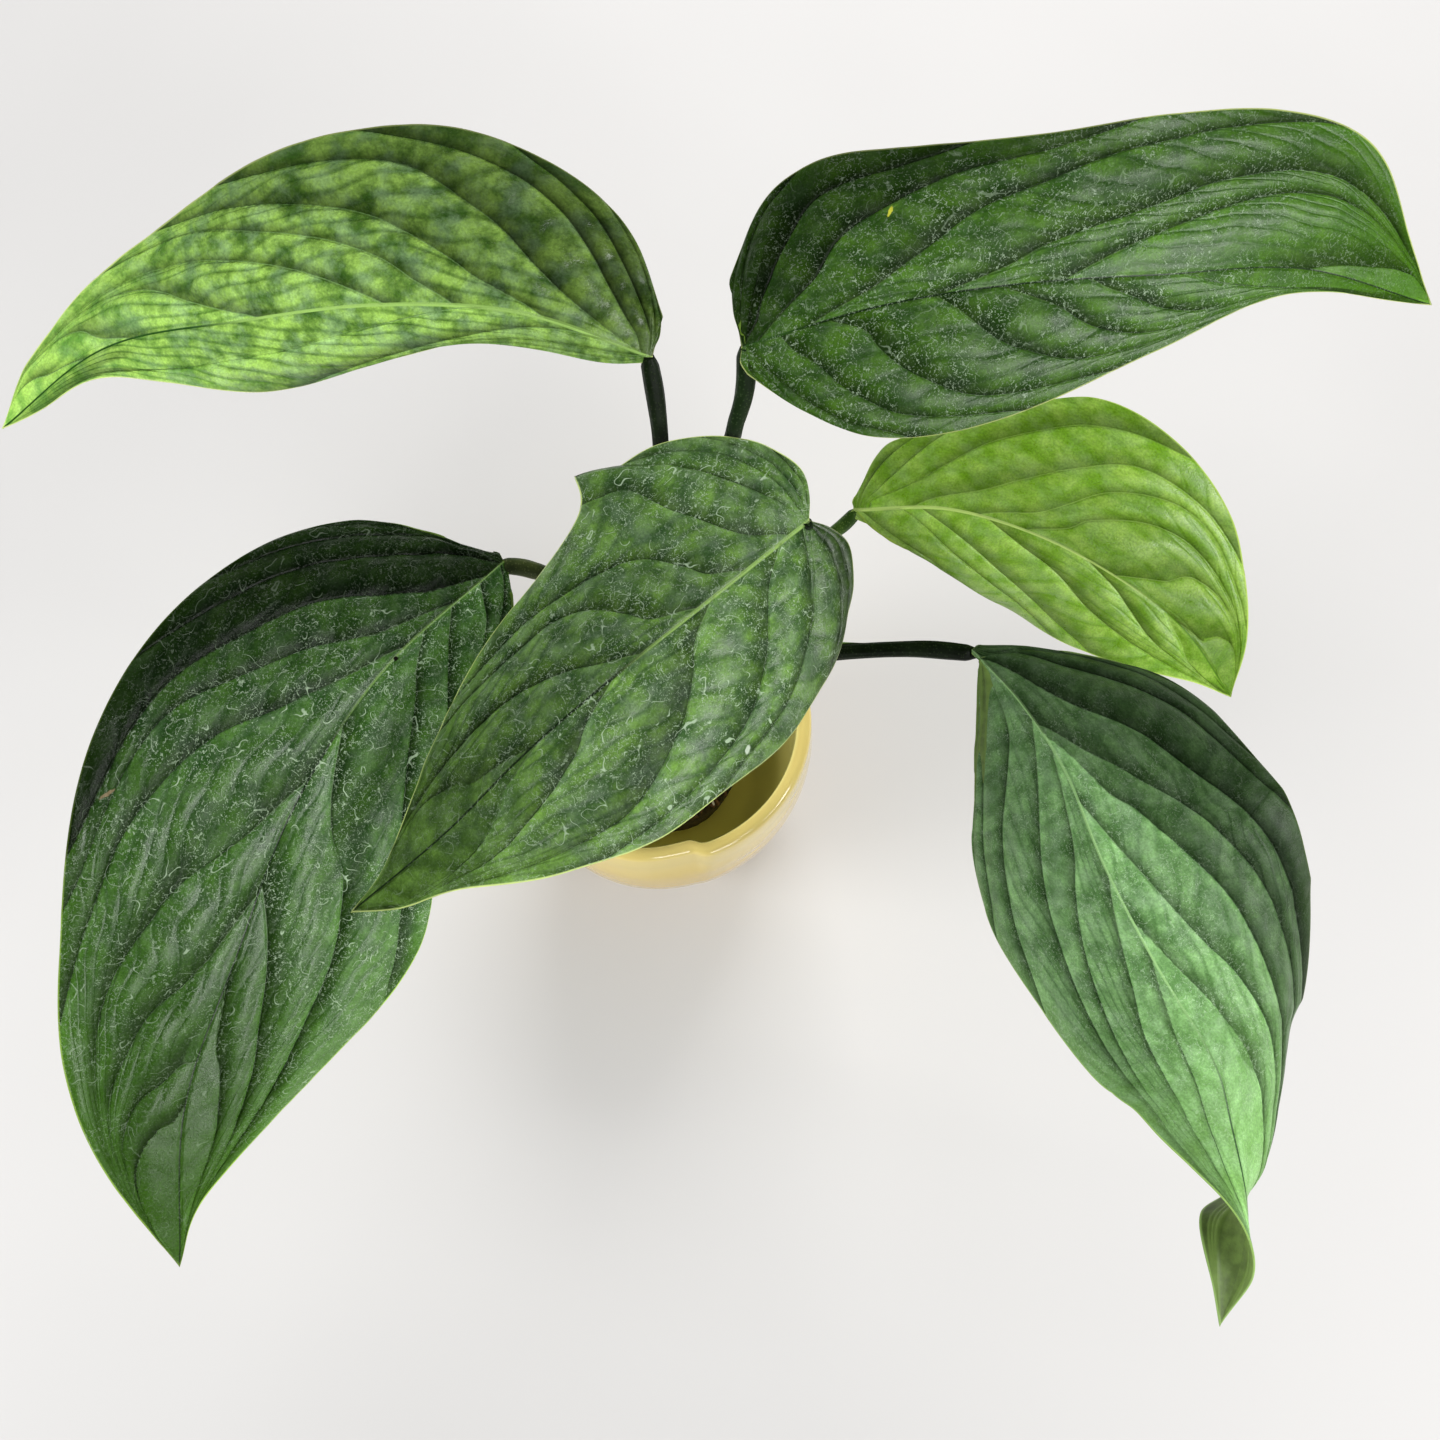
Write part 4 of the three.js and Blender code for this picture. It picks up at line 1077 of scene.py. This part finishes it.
def glaze():
    """Warm butter-yellow glaze, clouded and finely pitted, paler up the wall, the darker lower
    wall being painted shade, and palest inside, which is painted light in the well
    """
    f = Finish("glaze")
    height = f.split(f.place)[2]
    cloud = f.noise(f.place, 26.0, 3.0)
    # Painted shade: the outside wall is darker below about 55 mm
    outside = f.mix(f.step(height, 0.055, 0.107), (192, 160, 80), (212, 192, 114))
    outside = f.mix(f.step(cloud, 0.35, 0.7, 0.0, 0.35), outside, (204, 178, 98))
    # Painted light: the inside of the well is a paler yellow than the outside
    tint = f.mix(f.field("inner"), outside, (234, 226, 146))
    pits = f.times(f.step(f.cells(f.place, 420.0), 0.16, 0.06),
                   f.step(f.noise(f.place, 60.0), 0.58, 0.66), 0.4)
    tint = f.mix(pits, tint, (150, 118, 60))
    f.set(Base_Color=tint, Roughness=f.step(cloud, 0.3, 0.7, 0.12, 0.22), Coat_Weight=0.5,
          Coat_Roughness=0.06)
    f.bump(f.noise(f.place, 90.0, 2.0), 0.12, 0.0008)
    return f.material


# The potting mix

ROOT_BALL = [(25.4, 9.1), (30, 22), (33.5, 38), (35.5, 48), (33.5, 52.5), (20, 56), (6.9, 56)]
ROOT_BALL_SHOULDER = 33.5
HOLE = [[6.9, 30], [5, 29.6]]
GRAINS = 380
BARK, COIR, PERLITE = 1.0, 2.0, 3.0


def crumbs(x, y):
    """Noise of the mix's surface: coarse and fine ripples"""
    return ripples(x, y, 5, 3) + 0.6 * ripples(x, y, 2.2, 8)


def root_ball():
    """A closed skin turned from the ball's line: its side and its top are roughened by noise"""
    line = Curve(ROOT_BALL)
    ball = line.place(np.linspace(0, line.length, 110))
    places, faces = turned(np.vstack([ball, HOLE]), 160)
    radius = np.hypot(places[:, 0], places[:, 1])
    round_it = np.arctan2(places[:, 1], places[:, 0]) * 30
    side = smoothstep(places[:, 2], 9.5, 14) * smoothstep(radius, 26, 30)
    dent = 0.4 * (1 + 0.4 * crumbs(round_it, places[:, 2]))
    places[:, :2] *= 1 - (side * dent / np.maximum(radius, 1))[:, None]
    top = smoothstep(places[:, 2], 51, 53) * smoothstep(radius, 7.5, 10)
    places[:, 2] += top * 0.9 * crumbs(places[:, 0], places[:, 1])
    ground = line.places[line.places[:, 1] > 52.5][::-1]
    return places, faces, ground


def potting_mix(name, material):
    """The root ball on the pot's floor with bark chips, coir and perlite strewn on its top: each
    grain is a cube's eight corners, squashed, turned and jittered"""
    places, faces, ground = root_ball()
    dice = np.random.default_rng(21)
    radius = np.sqrt(dice.uniform(9 ** 2, ROOT_BALL_SHOULDER ** 2, GRAINS))
    angle = dice.uniform(0, 2 * np.pi, GRAINS)
    height = np.interp(radius, ground[:, 0], ground[:, 1])
    size = dice.uniform(0.8, 2.6, GRAINS) ** 1.2
    shape = size[:, None] * dice.uniform((0.9, 0.5, 0.25), (1.7, 1.0, 0.6), (GRAINS, 3))
    cube = np.array([(a, b, c) for a in (-1, 1) for b in (-1, 1) for c in (-1, 1)], float) * 0.5
    corners = cube[None] * shape[:, None] * dice.uniform(0.7, 1.15, (GRAINS, 8, 3))
    spin, lean = dice.uniform(0, 2 * np.pi, GRAINS), dice.normal(0, 0.35, GRAINS)
    cs, sn, cl, sl = np.cos(spin), np.sin(spin), np.cos(lean), np.sin(lean)
    turn = np.stack([np.stack([cs, -sn * cl, sn * sl], -1),
                     np.stack([sn, cs * cl, -cs * sl], -1),
                     np.stack([0 * cs, sl, cl], -1)], 1)
    centre = np.stack([radius * np.cos(angle), radius * np.sin(angle), height + 0.3 * size], -1)
    grains = np.einsum("nij,nkj->nki", turn, corners) + centre[:, None]
    sides = np.array([(0, 1, 3, 2), (4, 6, 7, 5), (0, 4, 5, 1), (2, 3, 7, 6), (0, 2, 6, 4),
                      (1, 5, 7, 3)])
    grain_faces = (sides[None] + 8 * np.arange(GRAINS)[:, None, None]).reshape(-1, 4)
    kind = dice.choice([BARK, COIR, PERLITE], GRAINS, p=[0.62, 0.24, 0.14])
    kind = np.concatenate([np.zeros(len(faces)), np.repeat(kind, 6)])
    smooth = kind == 0
    faces = np.concatenate([faces, grain_faces + len(places)])
    made = add_object(name, np.vstack([places, grains.reshape(-1, 3)]), faces, material,
                      fields={"kind": np.repeat(kind[:, None], 4, axis=1)})
    made.data.polygons.foreach_set("use_smooth", smooth)
    return made


def mix_finish():
    """Dark crumb, and the grains by their kind: red-brown bark, brown coir, off-white perlite"""
    f = Finish("bark_and_perlite")
    kind = f.field("kind")
    lumps = f.step(f.noise(f.place, 500.0, 4.0), 0.3, 0.7)
    crumb = f.mix(lumps, (20, 14, 10), (46, 34, 24))
    bark = f.mix(f.noise(f.place, 800.0, 3.0), (46, 30, 20), (92, 62, 40))
    tint = crumb
    for code, colour in ((BARK, bark), (COIR, (66, 50, 34)), (PERLITE, (170, 164, 152))):
        tint = f.mix(f.step(kind, code - 0.6, code - 0.4), tint, colour)
    f.set(Base_Color=tint, Roughness=0.92)
    f.bump(f.noise(f.place, 900.0, 4.0), 0.6, 0.0008)
    return f.material


# Camera, floor and light

def light(name, place, target, size, power, colour, sheen):
    """One soft window, turned to face a point"""
    lamp = bpy.data.lights.new(name, "AREA")
    lamp.shape = "RECTANGLE"
    lamp.size, lamp.size_y = size
    lamp.energy = power
    lamp.color = colour
    made = bpy.data.objects.new(name, lamp)
    bpy.context.scene.collection.objects.link(made)
    aim = Vector(target) - Vector(place)
    made.location = place
    made.rotation_euler = aim.to_track_quat("-Z", "Y").to_euler()
    made.visible_glossy = sheen


# The camera as worked out from the photograph: its place in metres, its tilt from straight down
# in degrees, and its focal length in pixels of the photograph's width
EYE = (0.0254, -0.2206, 0.72035)
TILT = 20
FOCAL_PIXELS = 1354
PHOTO_WIDTH = 1440
SENSOR = 36

# Name, place, point that it faces, width and height in metres, power in watts, colour, and
# whether glossy faces mirror it
LIGHTS = [
    ("back_window", (0.3, 1.5, 1.2), (0, 0, 0.25), (1.2, 0.8), 30, (1, 1, 1), False),
    ("low_window", (-1.5, -0.3, 0.62), (0, 0, 0.1), (0.7, 0.4), 12, (1, 1, 1), False),
    ("right_window", (1.5, -0.8, 1.2), (0, 0, 0.25), (1.0, 0.7), 24, (1, 1, 1), True),
    ("front_window", (0.8, -1.7, 0.8), (0, 0, 0.25), (1.0, 0.7), 14, (1, 1, 1), True),
    ("left_window", (-1.6, -0.6, 0.85), (0, 0, 0.25), (1.0, 0.7), 15, (0.96, 0.98, 1.0), False),
]


def studio():
    """Camera, plain floor, dim sky and soft windows round the plant"""
    scene = bpy.context.scene
    camera = bpy.data.cameras.new("camera")
    camera.sensor_width = SENSOR
    camera.lens = SENSOR * FOCAL_PIXELS / PHOTO_WIDTH
    camera.clip_start = 0.01
    eye = bpy.data.objects.new("camera", camera)
    eye.location = EYE
    eye.rotation_euler = (math.radians(TILT), 0, 0)
    scene.collection.objects.link(eye)
    scene.camera = eye

    mesh = bpy.data.meshes.new("floor")
    s = 6.0
    mesh.from_pydata([(-s, -s, 0), (s, -s, 0), (s, s, 0), (-s, s, 0)], [], [(0, 1, 2, 3)])
    f = Finish("floor")
    f.set(Base_Color=f.mix(f.noise(f.place, 3.0, 2.0), (196, 194, 192), (206, 204, 202)),
          Roughness=0.75)
    mesh.materials.append(f.material)
    floor = bpy.data.objects.new("floor", mesh)
    scene.collection.objects.link(floor)

    world = bpy.data.worlds.new("sky")
    world.use_nodes = True
    world.node_tree.nodes["Background"].inputs[0].default_value = (0.95, 0.97, 1.0, 1)
    world.node_tree.nodes["Background"].inputs[1].default_value = 0.32
    world.cycles_visibility.glossy = False
    scene.world = world
    for lamp in LIGHTS:
        light(*lamp)
    scene.view_settings.view_transform = "Standard"


# Assembly

def own(piece, node, slot):
    """The piece rides with the plant and stands for its CAD node. The slot is not used"""
    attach(piece, "root")
    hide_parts(node)
    return piece


studio()

# Each petiole's dark and light ground, its speckles, and the colour of a sheath
STALKS = [
    ((14, 28, 10), (28, 46, 20), (56, 76, 42), None),
    ((14, 28, 10), (26, 42, 18), (54, 74, 40), None),
    ((10, 18, 6), (16, 28, 10), (36, 50, 22), None),
    ((34, 58, 14), (60, 88, 28), (88, 114, 50), None),
    ((40, 50, 24), (64, 74, 38), (94, 100, 60), None),
    ((8, 16, 4), (18, 30, 10), (38, 54, 24), (110, 150, 54)),
]
BLADE_SLOTS = ["blade_dark", "blade_dark", "blade_bright", "blade_young", "blade_dark",
               "blade_dark"]

for number, leaf in enumerate(LEAVES, start=1):
    skin = SKINS[number - 1]
    skins = [upper_skin(f"leaf_{number}_upper", skin), under_skin(f"leaf_{number}_under", skin)]
    made = blade(f"blade_{number}", leaf, number - 1, 100 * number, skins)
    own(made, f"leaf_{number}_blade", BLADE_SLOTS[number - 1])
    low, high, speckle, wing = STALKS[number - 1]
    stalk = petiole(f"petiole_{number}", leaf,
                    petiole_skin(f"petiole_{number}_skin", low, high, speckle, wing))
    own(stalk, f"leaf_{number}_petiole", "petiole")

own(stem("climbing_stem", stem_skin()), "stem", "stem")
own(glazed_pot("glazed_pot", glaze()), "pot", "pot")
own(potting_mix("bark_mix", mix_finish()), "potting_mix", "mix")
